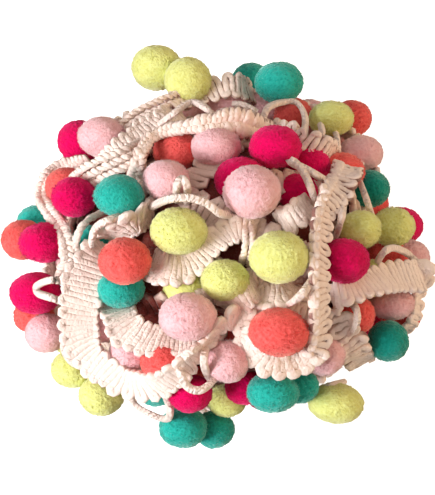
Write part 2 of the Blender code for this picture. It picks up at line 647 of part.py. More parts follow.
wound = bpy.data.collections.new("wound")
bpy.context.scene.collection.children.link(wound)
for name, run in {**near_runs, **far_runs}.items():
    loft_braid(name, run, toward_eye if name in near_runs else from_heart, wound)
for name, line in loop_lines.items():
    tube(name, line, CORD / 2, wound)
for number, ball in enumerate(lumped):
    pompom_mesh(f"lumped_{number}", ball, neighbours(ball, loose), LUMPED_BALL, wound)
fuse(braid, wound)
keep_largest(braid)
bm = bmesh.new()
bmesh.ops.create_cube(bm, size=TABLE_SLAB)
bmesh.ops.translate(bm, vec=(0, 0, -TABLE_SLAB / 2), verts=bm.verts)
cut_away(braid, add_object("table", mesh_from(bm, "table"), cutters))
paint(braid, "braid")

# The loose pompoms, pressed flat on their neighbours and dented by the lump.
lump = skin_tree(braid.data)
for ball in loose:
    others = neighbours(ball, near + lumped)
    detail = FRONT_BALL if ball.row.lift >= 0 else OTHER_BALL
    pompom = pompom_mesh(ball.node, ball, others, detail, parts)
    give_way(pompom, ball, lump)
    paint(pompom, ball.node.split("_")[0])

for thing in list(cutters.objects) + list(wound.objects):
    bpy.data.objects.remove(thing)
for part in parts.objects:
    part.data.transform(Matrix.Scale(SCALE, 4))
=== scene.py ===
import math

import bpy
import numpy as np
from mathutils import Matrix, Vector


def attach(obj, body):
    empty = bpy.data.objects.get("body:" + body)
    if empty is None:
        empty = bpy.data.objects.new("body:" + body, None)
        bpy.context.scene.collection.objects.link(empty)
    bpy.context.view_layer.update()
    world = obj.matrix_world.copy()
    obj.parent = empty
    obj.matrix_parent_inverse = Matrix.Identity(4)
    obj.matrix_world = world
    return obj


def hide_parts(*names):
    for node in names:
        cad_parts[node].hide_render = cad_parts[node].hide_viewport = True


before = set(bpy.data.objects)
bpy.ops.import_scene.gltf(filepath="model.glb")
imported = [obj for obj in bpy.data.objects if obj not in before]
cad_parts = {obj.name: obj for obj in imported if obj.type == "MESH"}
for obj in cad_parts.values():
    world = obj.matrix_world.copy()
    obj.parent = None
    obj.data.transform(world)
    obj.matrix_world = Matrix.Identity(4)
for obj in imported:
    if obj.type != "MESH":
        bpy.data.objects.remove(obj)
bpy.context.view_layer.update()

# A loose ball of pompom trim: an off-white cord braid that carries soft pompoms on short cord
# loops, wound into a ball. Sizes are in millimetres until meshOf brings them to metres.
#
# The near side is laid out on a board: a plane through the ball's heart, square to a line of
# sight that looks down on the ball. A place is so many steps across and down, and it slides along
# its sight line until it meets the ball's dome, plus its lift.

mm = 0.001
board = {"step": 0.42, "across": 217.5, "down": 247.5, "eye": 277.0, "raised": 60.0, "heart": 59.0}
dome = {"x": 75.0, "y": 71.0, "up": 50.0, "under": 64.0}

raised = math.radians(board["raised"])
heart = np.array([0.0, 0.0, board["heart"]])
toEye = np.array([0.0, -math.cos(raised), math.sin(raised)])
boardUp = np.array([0.0, math.sin(raised), math.cos(raised)])
boardAcross = np.array([1.0, 0.0, 0.0])
eye = heart + board["eye"] * toEye


def unit(vectors):
    return vectors / np.linalg.norm(vectors, axis=-1, keepdims=True)


def onSightLine(across, down, depth):  # the point on a place's sight line so far above the board
    right = (np.asarray(across, float) - board["across"]) * board["step"]
    up = (board["down"] - np.asarray(down, float)) * board["step"]
    depth = np.asarray(depth, float)
    flat = right[..., None] * boardAcross + up[..., None] * boardUp
    return heart + flat * (1 - depth / board["eye"])[..., None] + depth[..., None] * toEye


def domeSizes(ways):  # the dome's three half-sizes for each way from the heart
    tall = np.where(ways[..., 2] > 0, dome["up"], dome["under"])
    return np.stack([np.full_like(tall, dome["x"]), np.full_like(tall, dome["y"]), tall], axis=-1)


def domeShare(points):  # distance from the heart as a share of the dome's
    away = points - heart
    return np.sqrt(np.sum((away / domeSizes(away)) ** 2, axis=-1))


def domeDepth(across, down):  # where a sight line first meets the dome, or passes nearest to it
    depths = np.linspace(80, -80, 321)  # through the whole ball in half millimetres
    same = np.ones_like(depths)
    shares = domeShare(onSightLine(same * across, same * down, depths))
    inside = np.flatnonzero(shares <= 1)
    return depths[inside[0] if len(inside) else np.argmin(shares)]


def lengthAlong(line):  # the length of a line up to each of its points
    return np.concatenate([[0], np.cumsum(np.linalg.norm(np.diff(line, axis=0), axis=1))])


curveSteps = 24  # points that a smooth run is worked out at between two given rows


def smoothRun(rows, spacing):  # rows at even spacing on a Catmull-Rom curve through the given ones
    rows = np.array(rows, float)
    padded = np.vstack([2 * rows[0] - rows[1], rows, 2 * rows[-1] - rows[-2]])
    a, b, c, d = padded[:-3, None], padded[1:-2, None], padded[2:-1, None], padded[3:, None]
    t = np.linspace(0, 1, curveSteps, endpoint=False)[None, :, None]
    fine = 0.5 * (2 * b + (c - a) * t + (2 * a - 5 * b + 4 * c - d) * t ** 2
                  + (3 * b - a - 3 * c + d) * t ** 3)
    fine = np.vstack([fine.reshape(-1, rows.shape[1]), rows[-1]])
    along = lengthAlong(fine[:, :3])
    at = np.linspace(0, along[-1], max(3, int(round(along[-1] / spacing)) + 1))
    return np.stack([np.interp(at, along, column) for column in fine.T], axis=1)


def tubeQuads(rings, sides):  # the faces between closed rings of points, with each face's ring and side
    i, j = np.meshgrid(np.arange(rings - 1), np.arange(sides), indexing="ij")
    after = (j + 1) % sides
    quads = np.stack([i * sides + j, (i + 1) * sides + j, (i + 1) * sides + after, i * sides + after],
                     axis=-1)
    return quads.reshape(-1, 4), i, j


# name, across, down, wide, tall, lift: the pompoms of the near side. "wide" and "tall" are in board
# steps, and a name that starts with "tucked" lies deep between the braid's turns.
pompomRows = [
    ("yellow_1", 157, 68, 52, 46, -4), ("yellow_2", 188, 80, 48, 46, 6),
    ("teal_1", 251, 82, 44, 40, -10), ("teal_2", 279, 83, 50, 42, 2),
    ("tucked pink", 268, 106, 46, 40, -10), ("pink_1", 309, 118, 44, 40, -14),
    ("yellow_3", 331, 119, 46, 37, 2), ("coral_1", 351, 119, 42, 38, -10),
    ("tucked coral", 293, 117, 42, 40, -18),
    ("pink_2", 360, 154, 46, 38, -2), ("tucked coral", 342, 172, 48, 40, -12),
    ("magenta_1", 275, 147, 54, 44, 2), ("magenta_2", 241, 180, 56, 48, -6),
    ("pink_3", 252, 192, 60, 55, 5),
    ("magenta_3", 308, 166, 46, 42, -12), ("tucked magenta", 297, 194, 44, 42, -14),
    ("pink_4", 216, 147, 52, 42, -6), ("coral_2", 176, 152, 48, 42, -8),
    ("pink_5", 166, 180, 49, 42, 0), ("teal_3", 119, 196, 52, 43, 4),
    ("magenta_4", 74, 197, 47, 41, 2), ("coral_3", 67, 187, 44, 40, -10),
    ("magenta_5", 80, 142, 46, 44, -8), ("pink_6", 103, 137, 52, 42, 4),
    ("tucked teal", 37, 222, 40, 36, -14), ("coral_4", 23, 240, 44, 41, -6),
    ("magenta_6", 44, 243, 51, 42, 6), ("magenta_7", 36, 293, 53, 43, 2),
    ("coral_5", 34, 315, 42, 38, -12), ("pink_7", 47, 333, 44, 41, -6),
    ("yellow_4", 74, 368, 47, 40, -4), ("yellow_5", 102, 395, 47, 42, 0),
    ("coral_6", 125, 261, 55, 48, 6), ("teal_4", 121, 289, 48, 40, -6),
    ("tucked teal", 92, 243, 44, 38, -12), ("yellow_6", 179, 231, 59, 49, 2),
    ("yellow_7", 225, 280, 50, 43, -2), ("yellow_8", 279, 257, 62, 54, 4),
    ("tucked yellow", 186, 288, 48, 38, -14), ("pink_8", 188, 317, 60, 50, 3),
    ("pink_9", 131, 352, 46, 40, -6), ("coral_7", 163, 361, 48, 40, -4),
    ("coral_8", 279, 332, 63, 50, 2), ("coral_9", 236, 342, 50, 42, -8),
    ("pink_10", 227, 361, 46, 44, -2), ("tucked coral", 196, 373, 42, 38, -14),
    ("magenta_8", 190, 393, 46, 38, -4), ("yellow_9", 227, 400, 44, 36, -11),
    ("tucked magenta", 245, 387, 44, 38, -7), ("tucked pink", 335, 141, 42, 38, -24),
    ("tucked coral", 208, 193, 42, 38, -16),
    ("teal_5", 273, 392, 54, 42, -2), ("teal_6", 299, 386, 42, 36, -8),
    ("teal_7", 183, 427, 50, 41, 0), ("teal_8", 214, 429, 44, 38, -8),
    ("yellow_10", 336, 403, 56, 41, 0),
    ("yellow_11", 360, 230, 44, 40, -4), ("yellow_12", 393, 227, 44, 42, 0),
    ("magenta_9", 400, 226, 46, 40, -14), ("pink_11", 407, 257, 46, 38, -8),
    ("magenta_10", 344, 261, 52, 47, 2), ("pink_12", 391, 303, 48, 36, -2),
    ("tucked coral", 400, 315, 42, 36, -14), ("teal_9", 388, 341, 42, 42, 2),
    ("coral_10", 353, 315, 44, 42, -12), ("teal_10", 369, 189, 44, 40, -8),
    ("yellow_13", 367, 278, 44, 40, -13), ("tucked pink", 104, 322, 44, 42, -12),
    ("pink_13", 323, 355, 46, 42, -8), ("tucked coral", 386, 257, 46, 40, -12),
]

# across, down, lift, roll, wide: the turns of braid on the near side. "roll" turns the face away
# from the eye, in degrees, and "wide" is the braid's width in millimetres.
nearTurns = {
    "topTurn": [(108, 148, -14, 40, 11), (121, 132, 0, 40, 11), (145, 115, 3, 40, 11),
                (170, 104, 3, 40, 12), (198, 96, 3, 38, 12), (222, 87, 4, 30, 12),
                (241, 86, 1, 30, 12), (252, 94, -14, 30, 12)],
    "secondTurn": [(136, 178, -14, 50, 11), (138, 164, 3, 58, 11), (142, 150, 5, 62, 11),
                   (151, 138, 5, 62, 11), (167, 130, 5, 60, 11), (191, 126, 6, 58, 12),
                   (215, 123, 6, 42, 12), (238, 122, 4, 12, 12), (254, 127, -4, 20, 12),
                   (266, 134, -16, 30, 12)],
    "sideRise": [(74, 190, -14, 20, 12), (87, 177, 2, 34, 12), (105, 167, 4, 38, 12),
                 (121, 160, 3, 42, 12), (134, 153, 0, 46, 11), (147, 146, -14, 46, 11)],
    "midRise": [(106, 166, -14, 20, 11), (118, 153, -2, 20, 11), (134, 140, -3, 25, 11),
                (150, 128, -4, 25, 11), (166, 119, -5, 25, 11), (182, 113, -16, 20, 11)],
    "leftTurn": [(88, 162, -18, 30, 7), (62, 166, 0, 30, 7), (46, 179, 2, 30, 7),
                 (41, 196, 2, 30, 7), (49, 211, 2, 30, 7), (58, 223, 1, 30, 7),
                 (66, 241, 0, 35, 8), (68, 262, -2, 35, 8), (62, 280, -16, 35, 8)],
    "innerTurn": [(154, 206, -12, 50, 12), (138, 221, 0, 50, 12), (118, 232, -3, 55, 12),
                  (104, 240, -16, 60, 12)],
    "innerEdge": [(104, 211, -12, 60, 12), (86, 222, 2, 70, 12), (76, 240, 3, 70, 12),
                  (79, 260, -14, 60, 12)],
    "bigCurl": [(112, 246, -16, 0, 13), (97, 257, -2, 0, 14), (86, 275, 2, 0, 15),
                (81, 297, 4, 0, 15), (79, 318, 4, 0, 15), (81, 338, 4, -10, 14),
                (90, 356, 4, -22, 13), (106, 370, 4, -25, 12), (124, 382, 4, -28, 12),
                (145, 386, 4, -30, 12), (165, 381, 5, -40, 12), (182, 369, 5, -50, 12),
                (195, 355, 3, -62, 10), (206, 342, 1, -68, 9), (218, 328, 0, -60, 9),
                (232, 318, -2, -45, 10), (247, 312, -16, -40, 11)],
    "underPink": [(114, 300, -16, 20, 13), (121, 318, -3, 10, 13), (130, 332, -1, 0, 13),
                  (150, 340, -2, 10, 12), (178, 345, -5, 35, 11), (202, 342, -4, 60, 11),
                  (216, 332, -16, 65, 11)],
    "middleTurn": [(144, 262, -16, 10, 12), (164, 268, -4, 10, 12), (186, 266, -6, 10, 12),
                   (207, 249, -5, 0, 10), (226, 233, -3, 0, 10), (246, 228, -4, 0, 10),
                   (262, 238, -16, 20, 12)],
    "chainTurn": [(246, 222, -12, 65, 11), (249, 234, 1, 65, 11), (248, 250, 2, 65, 11),
                  (244, 266, -12, 65, 11)],
    "rightPost": [(350, 160, -14, 0, 12), (346, 171, 2, -5, 12), (341, 184, 5, -12, 12),
                  (332, 198, 7, 14, 12), (324, 213, 7, 42, 11), (320, 233, 7, 52, 11),
                  (319, 260, 8, 55, 11), (319, 290, 8, 55, 11), (319, 318, 7, 54, 11),
                  (318, 342, 6, 46, 11), (310, 361, 5, 30, 10), (293, 371, 4, 22, 9.5),
                  (270, 370, 4, 22, 9.5), (253, 360, 2, 25, 8.5), (243, 343, -1, 25, 6.5),
                  (247, 323, -4, 25, 6.5), (261, 308, -7, 30, 7), (284, 300, -16, 45, 11)],
    "leafTurn": [(276, 228, -16, 0, 11), (290, 219, -1, 0, 11), (304, 210, 0, 0, 11),
                 (316, 203, -14, 10, 11)],
    "rightTurn": [(324, 300, -14, 0, 12), (338, 294, -2, 10, 12), (356, 287, -1, 20, 12),
                  (376, 281, 1, 25, 13), (396, 277, 8, 28, 14), (414, 276, 9, 28, 14),
                  (422, 279, 3, 40, 11.5), (419, 289, 0, 58, 9), (417, 301, -2, 62, 8),
                  (415, 315, -4, 62, 8), (408, 326, -8, 62, 8), (396, 333, -18, 60, 8)],
    "fingerTurn": [(326, 300, -14, 0, 11), (333, 311, -3, 0, 12), (339, 322, -3, 0, 12),
                   (345, 333, -3, 0, 12), (351, 344, -3, 0, 13), (356, 354, -4, 0, 13),
                   (360, 363, -6, 0, 13), (360, 365, -22, 0, 12)],
    "knotTurn": [(270, 128, -16, 20, 10), (284, 131, -6, 20, 10), (296, 137, -2, 5, 10),
                 (306, 141, 1, 0, 10), (316, 144, 2, 0, 10), (326, 148, 0, 0, 10),
                 (334, 155, -14, 0, 10)],
    "twistedEnd": [(258, 277, -16, 25, 12), (249, 290, -2, 25, 12), (238, 301, -2, 25, 12),
                   (226, 312, -14, 25, 12)],
    "lowLeaf": [(250, 301, -16, 30, 12), (266, 296, -6, 30, 12), (288, 292, -6, 30, 12),
                (308, 284, -16, 30, 12)],
}

# across, down, lift: the cord loops that show. Each runs from the braid, round its top and back.
cordLoops = {
    "top": ((160, 124, -4), (174, 113, 9), (192, 102, 12), (208, 110, 9), (217, 121, -4)),
    "high": ((262, 123, -6), (268, 108, 6), (284, 102, 11), (297, 103, 10), (305, 117, 6),
             (304, 140, -8)),
    "left": ((74, 283, -8), (52, 280, 11), (37, 286, 14), (38, 293, 14), (52, 298, 11),
             (70, 305, -8)),
    "low": ((164, 392, -6), (170, 410, 9), (166, 419, 10), (148, 413, 8), (134, 403, 4),
            (130, 386, -8)),
    "long": ((66, 338, -8), (63, 348, 5), (70, 361, 6), (84, 368, 9), (102, 377, -8)),
    "yellow": ((318, 116, -10), (322, 131, 4), (320, 140, -10)),
    "twin": ((328, 118, -10), (336, 134, 6), (338, 152, -8)),
    "tall": ((316, 206, -8), (312, 191, 5), (305, 175, 7), (296, 163, 7), (289, 160, 7),
             (294, 164, 6), (306, 169, 6), (318, 176, 6), (332, 184, -8)),
    "small": ((176, 200, -8), (177, 186, 11), (182, 179, 12), (187, 186, 11), (187, 202, -8)),
    "brow": ((148, 209, -8), (166, 200, 11), (188, 198, 13), (206, 203, 11), (222, 214, 6),
             (240, 214, -10)),
    "side": ((130, 214, -8), (112, 219, 9), (97, 227, 8), (92, 240, 4), (93, 254, -8)),
    "drop": ((344, 192, -8), (343, 206, 6), (341, 220, 7), (336, 236, -8)),
    "fall": ((360, 182, -8), (366, 198, 4), (372, 216, -8)),
    "right": ((376, 264, -8), (384, 252, 8), (394, 248, 9), (408, 254, 6), (419, 265, 5),
              (425, 273, 3), (424, 283, -8)),
    "hook": ((350, 300, -10), (357, 312, 4), (355, 327, 4), (344, 338, -8)),
    "foot": ((176, 356, -6), (180, 372, 8), (188, 387, 9), (201, 390, 9), (214, 380, 2),
             (222, 370, -10)),
    "peach": ((318, 268, -6), (308, 286, 9), (298, 298, 10), (286, 306, -6)),
    "last": ((344, 382, -10), (332, 385, 4), (318, 390, -10)),
    "bottom": ((174, 391, -26), (180, 398, -23), (188, 399, -23), (196, 391, -28)),
    "deepTop": ((234, 104, -15), (241, 104, -11), (249, 107, -11), (257, 112, -15)),
    "forkLeft": ((205, 342, -6), (196, 348, 6), (184, 355, 6), (174, 361, -8)),
    "forkDown": ((208, 342, -6), (204, 356, 6), (205, 368, 6), (211, 380, -8)),
}

# tilt, toward, start, sweep, swing, lift: arcs of braid round the far side, in degrees and mm.
farTurns = {
    "farTurn1": (-18, 100, -62, 124, 8, 4), "farTurn2": (12, 94, -84, 168, 5, 4),
    "farTurn3": (-46, 70, -60, 110, 9, 4), "farTurn4": (-40, 150, -52, 96, -7, 4),
    "sideTurnLeft": (-28, 205, -48, 88, 6, 4), "sideTurnRight": (-30, -28, -44, 84, -6, 4),
    "nearTurn": (-52, -80, -58, 116, 6, 4),
}

stage = {
    "room": 3.0,                 # half the floor's width and the backdrop's distance, in metres
    "floor": (0.95, 0.95, 0.95),
    "glow": 0.85,                # how strongly the floor and the backdrop shine by themselves
    "world": (1.0, 0.84, 0.73),  # the light from all round, and its strength
    "air": 0.33,
    "backdrop": (48, 13),        # the backdrop's points round and up
    "lens": 36 * board["eye"] / (board["step"] * 495),  # so 36 mm of film take in 495 board steps
}
lights = {  # soft round panels that look at the ball's heart, with their places and sizes in metres
    "keyPanel": {"place": (-0.41, -0.28, 0.31), "size": 0.24, "power": 3.5,
                 "colour": (0.97, 0.98, 1.0)},
    "topPanel": {"place": (-0.28, -0.12, 0.80), "size": 0.6, "power": 0.9,
                 "colour": (1, 0.97, 0.94)},
    "fillPanel": {"place": (0.76, -0.05, 0.31), "size": 0.6, "power": 3.4,
                  "colour": (1, 0.74, 0.46)},
}

camera = bpy.data.objects.new("eyeCamera", bpy.data.cameras.new("eyeCamera"))
camera.location = eye * mm
camera.rotation_euler = (math.pi / 2 - raised, 0, 0)
camera.data.lens = stage["lens"]
camera.data.clip_start = 0.01
bpy.context.scene.collection.objects.link(camera)
bpy.context.scene.camera = camera
bpy.context.scene.view_settings.view_transform = "Standard"


class Value:  # a shader value that takes part in sums
    def __init__(self, finish, socket):
        self.finish, self.socket = finish, socket

    def sum(self, operation, first, second):
        return self.finish.node("ShaderNodeMath", {"operation": operation}, {0: first, 1: second})

    def __add__(self, other):
        return self.sum("ADD", self, other)

    def __radd__(self, other):
        return self.sum("ADD", other, self)

    def __sub__(self, other):
        return self.sum("SUBTRACT", self, other)

    def __rsub__(self, other):
        return self.sum("SUBTRACT", other, self)

    def __mul__(self, other):
        return self.sum("MULTIPLY", self, other)

    def __rmul__(self, other):
        return self.sum("MULTIPLY", other, self)


class Finish:  # one material while it is made
    def __init__(self, name, settings):
        self.material = bpy.data.materials.new(name)
        self.material.use_nodes = True
        self.tree = self.material.node_tree
        self.shader = self.tree.nodes["Principled BSDF"]
        for socket, value in settings.items():
            self.shader.inputs[socket].default_value = value

    def node(self, kind, settings, inputs, output=0):  # settings come first, then values or links
        made = self.tree.nodes.new(kind)
        for name, value in settings.items():
            setattr(made, name, value)
        self.feed(made, inputs)
        return Value(self, made.outputs[output])

    def feed(self, made, inputs):
        for name, value in inputs.items():
            if isinstance(value, Value):
                self.tree.links.new(value.socket, made.inputs[name])
            else:
                made.inputs[name].default_value = value

    def mix(self, share, first, second):  # a Mix node has its colours at sockets 6 and 7
        return self.node("ShaderNodeMix", {"data_type": "RGBA"}, {0: share, 6: first, 7: second},
                         output=2)

    def noise(self, spot, scale, detail=2.0):
        return self.node("ShaderNodeTexNoise", {}, {"Vector": spot, "Scale": scale, "Detail": detail})

    def spread(self, value, low, high):  # 0 at low, 1 at high, smooth between
        return self.node("ShaderNodeMapRange", {"interpolation_type": "SMOOTHSTEP"},
                         {"Value": value, "From Min": low, "From Max": high})


def linear(red, green, blue):  # a colour as a screen shows it, 0 to 255, for a shader
    shown = np.array([red, green, blue]) / 255
    return (*np.where(shown <= 0.04045, shown / 12.92, ((shown + 0.055) / 1.055) ** 2.4), 1.0)


floorFinish = Finish("paleFloor", {"Base Color": (*stage["floor"], 1), "Roughness": 1.0,
                                   "Emission Color": (1, 1, 1, 1), "Emission Strength": stage["glow"]})


def backdropSkin(bearings, rises):  # the points (cos a cos e, sin a cos e, sin e) of a dome round it all
    a, e = np.meshgrid(np.linspace(0, 2 * math.pi, bearings, endpoint=False), np.linspace(0, 1.5, rises))
    points = np.stack([np.cos(a) * np.cos(e), np.sin(a) * np.cos(e), np.sin(e)], axis=-1)
    return points.reshape(-1, 3) * stage["room"], tubeQuads(rises, bearings)[0]


square = np.array([(-1, -1, 0), (1, -1, 0), (1, 1, 0), (-1, 1, 0)]) * stage["room"]
for name, points, faces in (("paleFloor", square, np.array([(0, 1, 2, 3)])),
                            ("paleBackdrop", *backdropSkin(*stage["backdrop"]))):
    skin = bpy.data.meshes.new(name)
    skin.from_pydata(points.tolist(), [], faces.tolist())
    skin.materials.append(floorFinish.material)
    staged = bpy.data.objects.new(name, skin)
    bpy.context.scene.collection.objects.link(staged)
    staged.visible_diffuse = False  # its own glow stays off the ball
    staged.visible_shadow = name == "paleFloor"  # and the room's light comes through the backdrop

world = bpy.data.worlds.new("softRoom")
world.use_nodes = True
world.node_tree.nodes["Background"].inputs["Color"].default_value = (*stage["world"], 1)
world.node_tree.nodes["Background"].inputs["Strength"].default_value = stage["air"]
bpy.context.scene.world = world

for name, plan in lights.items():
    panel = bpy.data.lights.new(name, "AREA")
    panel.shape = "DISK"
    panel.size = plan["size"]
    panel.energy = plan["power"]
    panel.color = plan["colour"]
    lamp = bpy.data.objects.new(name, panel)
    lamp.location = plan["place"]
    back = Vector(np.array(plan["place"]) - heart * mm)
    lamp.rotation_euler = back.to_track_quat("Z", "Y").to_euler()
    bpy.context.scene.collection.objects.link(lamp)
print("stage set")


def joinShapes(shapes):  # several shapes as one: points follow each other, and faces shift along
    starts = np.cumsum([0] + [len(shape["points"]) for shape in shapes[:-1]])
    joined = {key: np.concatenate([shape[key] for shape in shapes])
              for key in shapes[0] if key not in ("quads", "tris")}
    for key in ("quads", "tris"):
        joined[key] = np.concatenate([shape[key] + start for shape, start in zip(shapes, starts)])
    return joined


def meshOf(name, shape, finish, slot, nodes):
    # Puts a shape's arrays into a mesh: first the quads, then the triangles. "tip" is a value at
    # each point for the finish, "along" a place on the yarn at each face corner, "away" the way
    # that the pile's light-catching normals lean, with "lean" as their share.
    quads, tris = shape["quads"], shape["tris"]
    mesh = bpy.data.meshes.new(name)
    mesh.vertices.add(len(shape["points"]))
    onTable = np.maximum(shape["points"], (-np.inf, -np.inf, 0))
    mesh.vertices.foreach_set("co", (onTable * mm).astype(np.float32).ravel())
    corners = np.concatenate([quads.ravel(), tris.ravel()]).astype(np.int32)
    counts = np.concatenate([np.full(len(quads), 4), np.full(len(tris), 3)])
    mesh.loops.add(len(corners))
    mesh.loops.foreach_set("vertex_index", corners)
    mesh.polygons.add(len(counts))
    starts = np.concatenate([[0], np.cumsum(counts)[:-1]])
    mesh.polygons.foreach_set("loop_start", starts.astype(np.int32))
    mesh.polygons.foreach_set("use_smooth", np.ones(len(counts), bool))
    mesh.update(calc_edges=True)
    # "tip" carries the painted shade and highlight that the finishes read
    tip = mesh.attributes.new("tip", "FLOAT", "POINT")
    tip.data.foreach_set("value", shape["tip"].astype(np.float32))
    if "along" in shape:
        yarn = mesh.uv_layers.new(name="yarn")
        yarn.data.foreach_set("uv", shape["along"].astype(np.float32).ravel())
    mesh.validate()
    if "away" in shape:
        plain = np.zeros(len(shape["points"]) * 3, np.float32)
        mesh.vertex_normals.foreach_get("vector", plain)
        leaning = unit(plain.reshape(-1, 3) * (1 - pile["lean"]) + shape["away"] * pile["lean"])
        mesh.normals_split_custom_set_from_vertices(leaning.tolist())
    mesh.materials.append(finish.material)
    thing = bpy.data.objects.new(name, mesh)
    bpy.context.scene.collection.objects.link(thing)
    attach(thing, "root")
    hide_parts(*nodes)
    print(f"{name}: {len(quads) * 2 + len(tris)} triangles")


def lineFrame(points, facing):
    # Unit vectors along a line, and across it, square to the way that it faces. Where the line runs
    # toward that way, the nearest firm side is used.
    ahead = unit(np.gradient(points, axis=0))
    side = np.cross(ahead, facing)
    firm = np.flatnonzero(np.linalg.norm(side, axis=1) > 0.5)
    nearest = firm[np.argmin(abs(firm[None, :] - np.arange(len(points))[:, None]), axis=1)]
    side = side[nearest]
    side = side - ahead * np.sum(side * ahead, axis=1)[:, None]
    return ahead, unit(side)


def rolledFrame(run, facing):  # unit vectors ahead, across a braid's rolled face and out of it
    ahead, side = lineFrame(run[:, :3], facing)
    front = np.cross(side, ahead)
    roll = np.radians(run[:, 3])[:, None]
    return ahead, side * np.cos(roll) + front * np.sin(roll), front * np.cos(roll) - side * np.sin(roll)


def cordSkin(line, up, wide, tall, plan, start):
    # A squarish profile carried along a line: each point is the line's, plus across times the
    # half-width times cos a and up times the half-height times sin a, both drawn toward 1. More of
    # the points are on its upper side, and every other one stands out by the knit's share, like
    # stitches. "start" is the yarn's length so far.
    sides = plan["sides"]
    ahead = unit(np.gradient(line, axis=0))
    up = unit(up - ahead * np.sum(up * ahead, axis=1)[:, None])
    across = np.cross(ahead, up)
    rings = len(line)
    angle = np.arange(sides) * 2 * math.pi / sides
    angle = angle + plan["upward"] * np.cos(angle)
    flat = np.sign(np.cos(angle)) * abs(np.cos(angle)) ** yarn["square"]
    high = np.sign(np.sin(angle)) * abs(np.sin(angle)) ** yarn["square"]
    stitch = 1 - 2 * ((np.arange(rings)[:, None] + np.arange(sides)) % 2)
    size = (1 + plan["knit"] * stitch)[..., None]
    wide = np.broadcast_to(wide, rings)[:, None, None]
    tall = np.broadcast_to(tall, rings)[:, None, None]
    ring = (wide * flat[None, :, None] * across[:, None] + tall * high[None, :, None] * up[:, None]) * size
    points = (line[:, None] + ring).reshape(-1, 3)
    quads, i, j = tubeQuads(rings, sides)
    caps = np.arange(sides)
    first, last = len(points), len(points) + 1
    lastRing = (rings - 1) * sides
    tris = np.vstack([np.stack([np.full(sides, first), caps, (caps + 1) % sides], axis=1),
                      np.stack([np.full(sides, last), lastRing + (caps + 1) % sides, lastRing + caps],
                               axis=1)])
    length = start + lengthAlong(line)
    u = np.stack([length[i], length[i + 1], length[i + 1], length[i]], axis=-1)
    v = np.stack([j, j, j + 1, j + 1], axis=-1) / sides
    capU = np.repeat([length[0], length[-1]], sides)[:, None] * np.ones(3)
    capV = np.tile(np.stack([caps + 0.5, caps, caps + 1], axis=1) / sides, (2, 1))
    along = np.concatenate([np.stack([u, v], axis=-1).reshape(-1, 2),
                            np.stack([capU, capV], axis=-1).reshape(-1, 2)])
    return {"points": np.vstack([points, line[0], line[-1]]), "quads": quads, "tris": tris,
            "along": along, "beside": (wide[..., 0] * flat).ravel()}


yarn = {
    "unshaded": (248, 229, 219),  # the cord's tops, as a screen shows them
    "cleftShade": (224, 198, 182),  # painted shade for its clefts and the lines between its strands
    "deep": (108, 38, 28),     # painted shade for what lies deep in the ball
    "strands": 2.0,            # plaited strands round the cord
    "twist": 1.9,              # a strand's length along it, in mm
    "slack": 2.0,              # how far the strands shift, in strands
    "square": 0.60,            # 1 is a round cord, less is a squarer one
}
braid = {
    "pitch": 3.9,         # one bar across and one back, in mm
    "tall": 1.12,         # half the cord's height
    "press": 1.22,        # how far the bars press into each other, as a share of their spacing
    "crease": 3.0,        # how sharply painted shade starts on its top where the next bar meets it
    "shadow": 0.55,       # how light the painted shade in that crease stays
    "knob": 0.50,         # how far the cord rises where it turns at the edge
    "knit": 0.022,        # how far its stitches stand out, as a share of its size
    "sides": 8,
    "upward": 0.35,       # how far the profile's points crowd to its upper side
    "rings": 28,          # rings of the cord to each pitch
    "wander": 0.60,       # how unevenly the cord's knobs stand out
    "slant": 0.9,         # how far a bar's end runs ahead of its middle, at most
    "sway": 31.0,         # the length of braid over which the slant changes and comes back
    "ripple": 0.22,       # how unevenly its bars lie up and down
    "pucker": 0.20,       # how unevenly its stitches swell, as a share of its size
    "shortest": 0.2,      # the least half-length of a bar
    "room": (0.2, 1.7),   # the least and most space that a bend leaves a bar, as a share of its own
    "narrowest": 0.62,    # the least width of a bar, as a share of the turn's
    "step": 0.38,         # for plaited cords: the space between rings
    "slack": 0.5,         # how unevenly their waves follow each other
    "apart": 2.1,         # how far each rope's waves run ahead of the last one's, in radians
    "beads": 0.0,         # how far they are drawn in between waves, as a share of their size
    "beadSharp": 6,       # how short the drawn-in part is
}
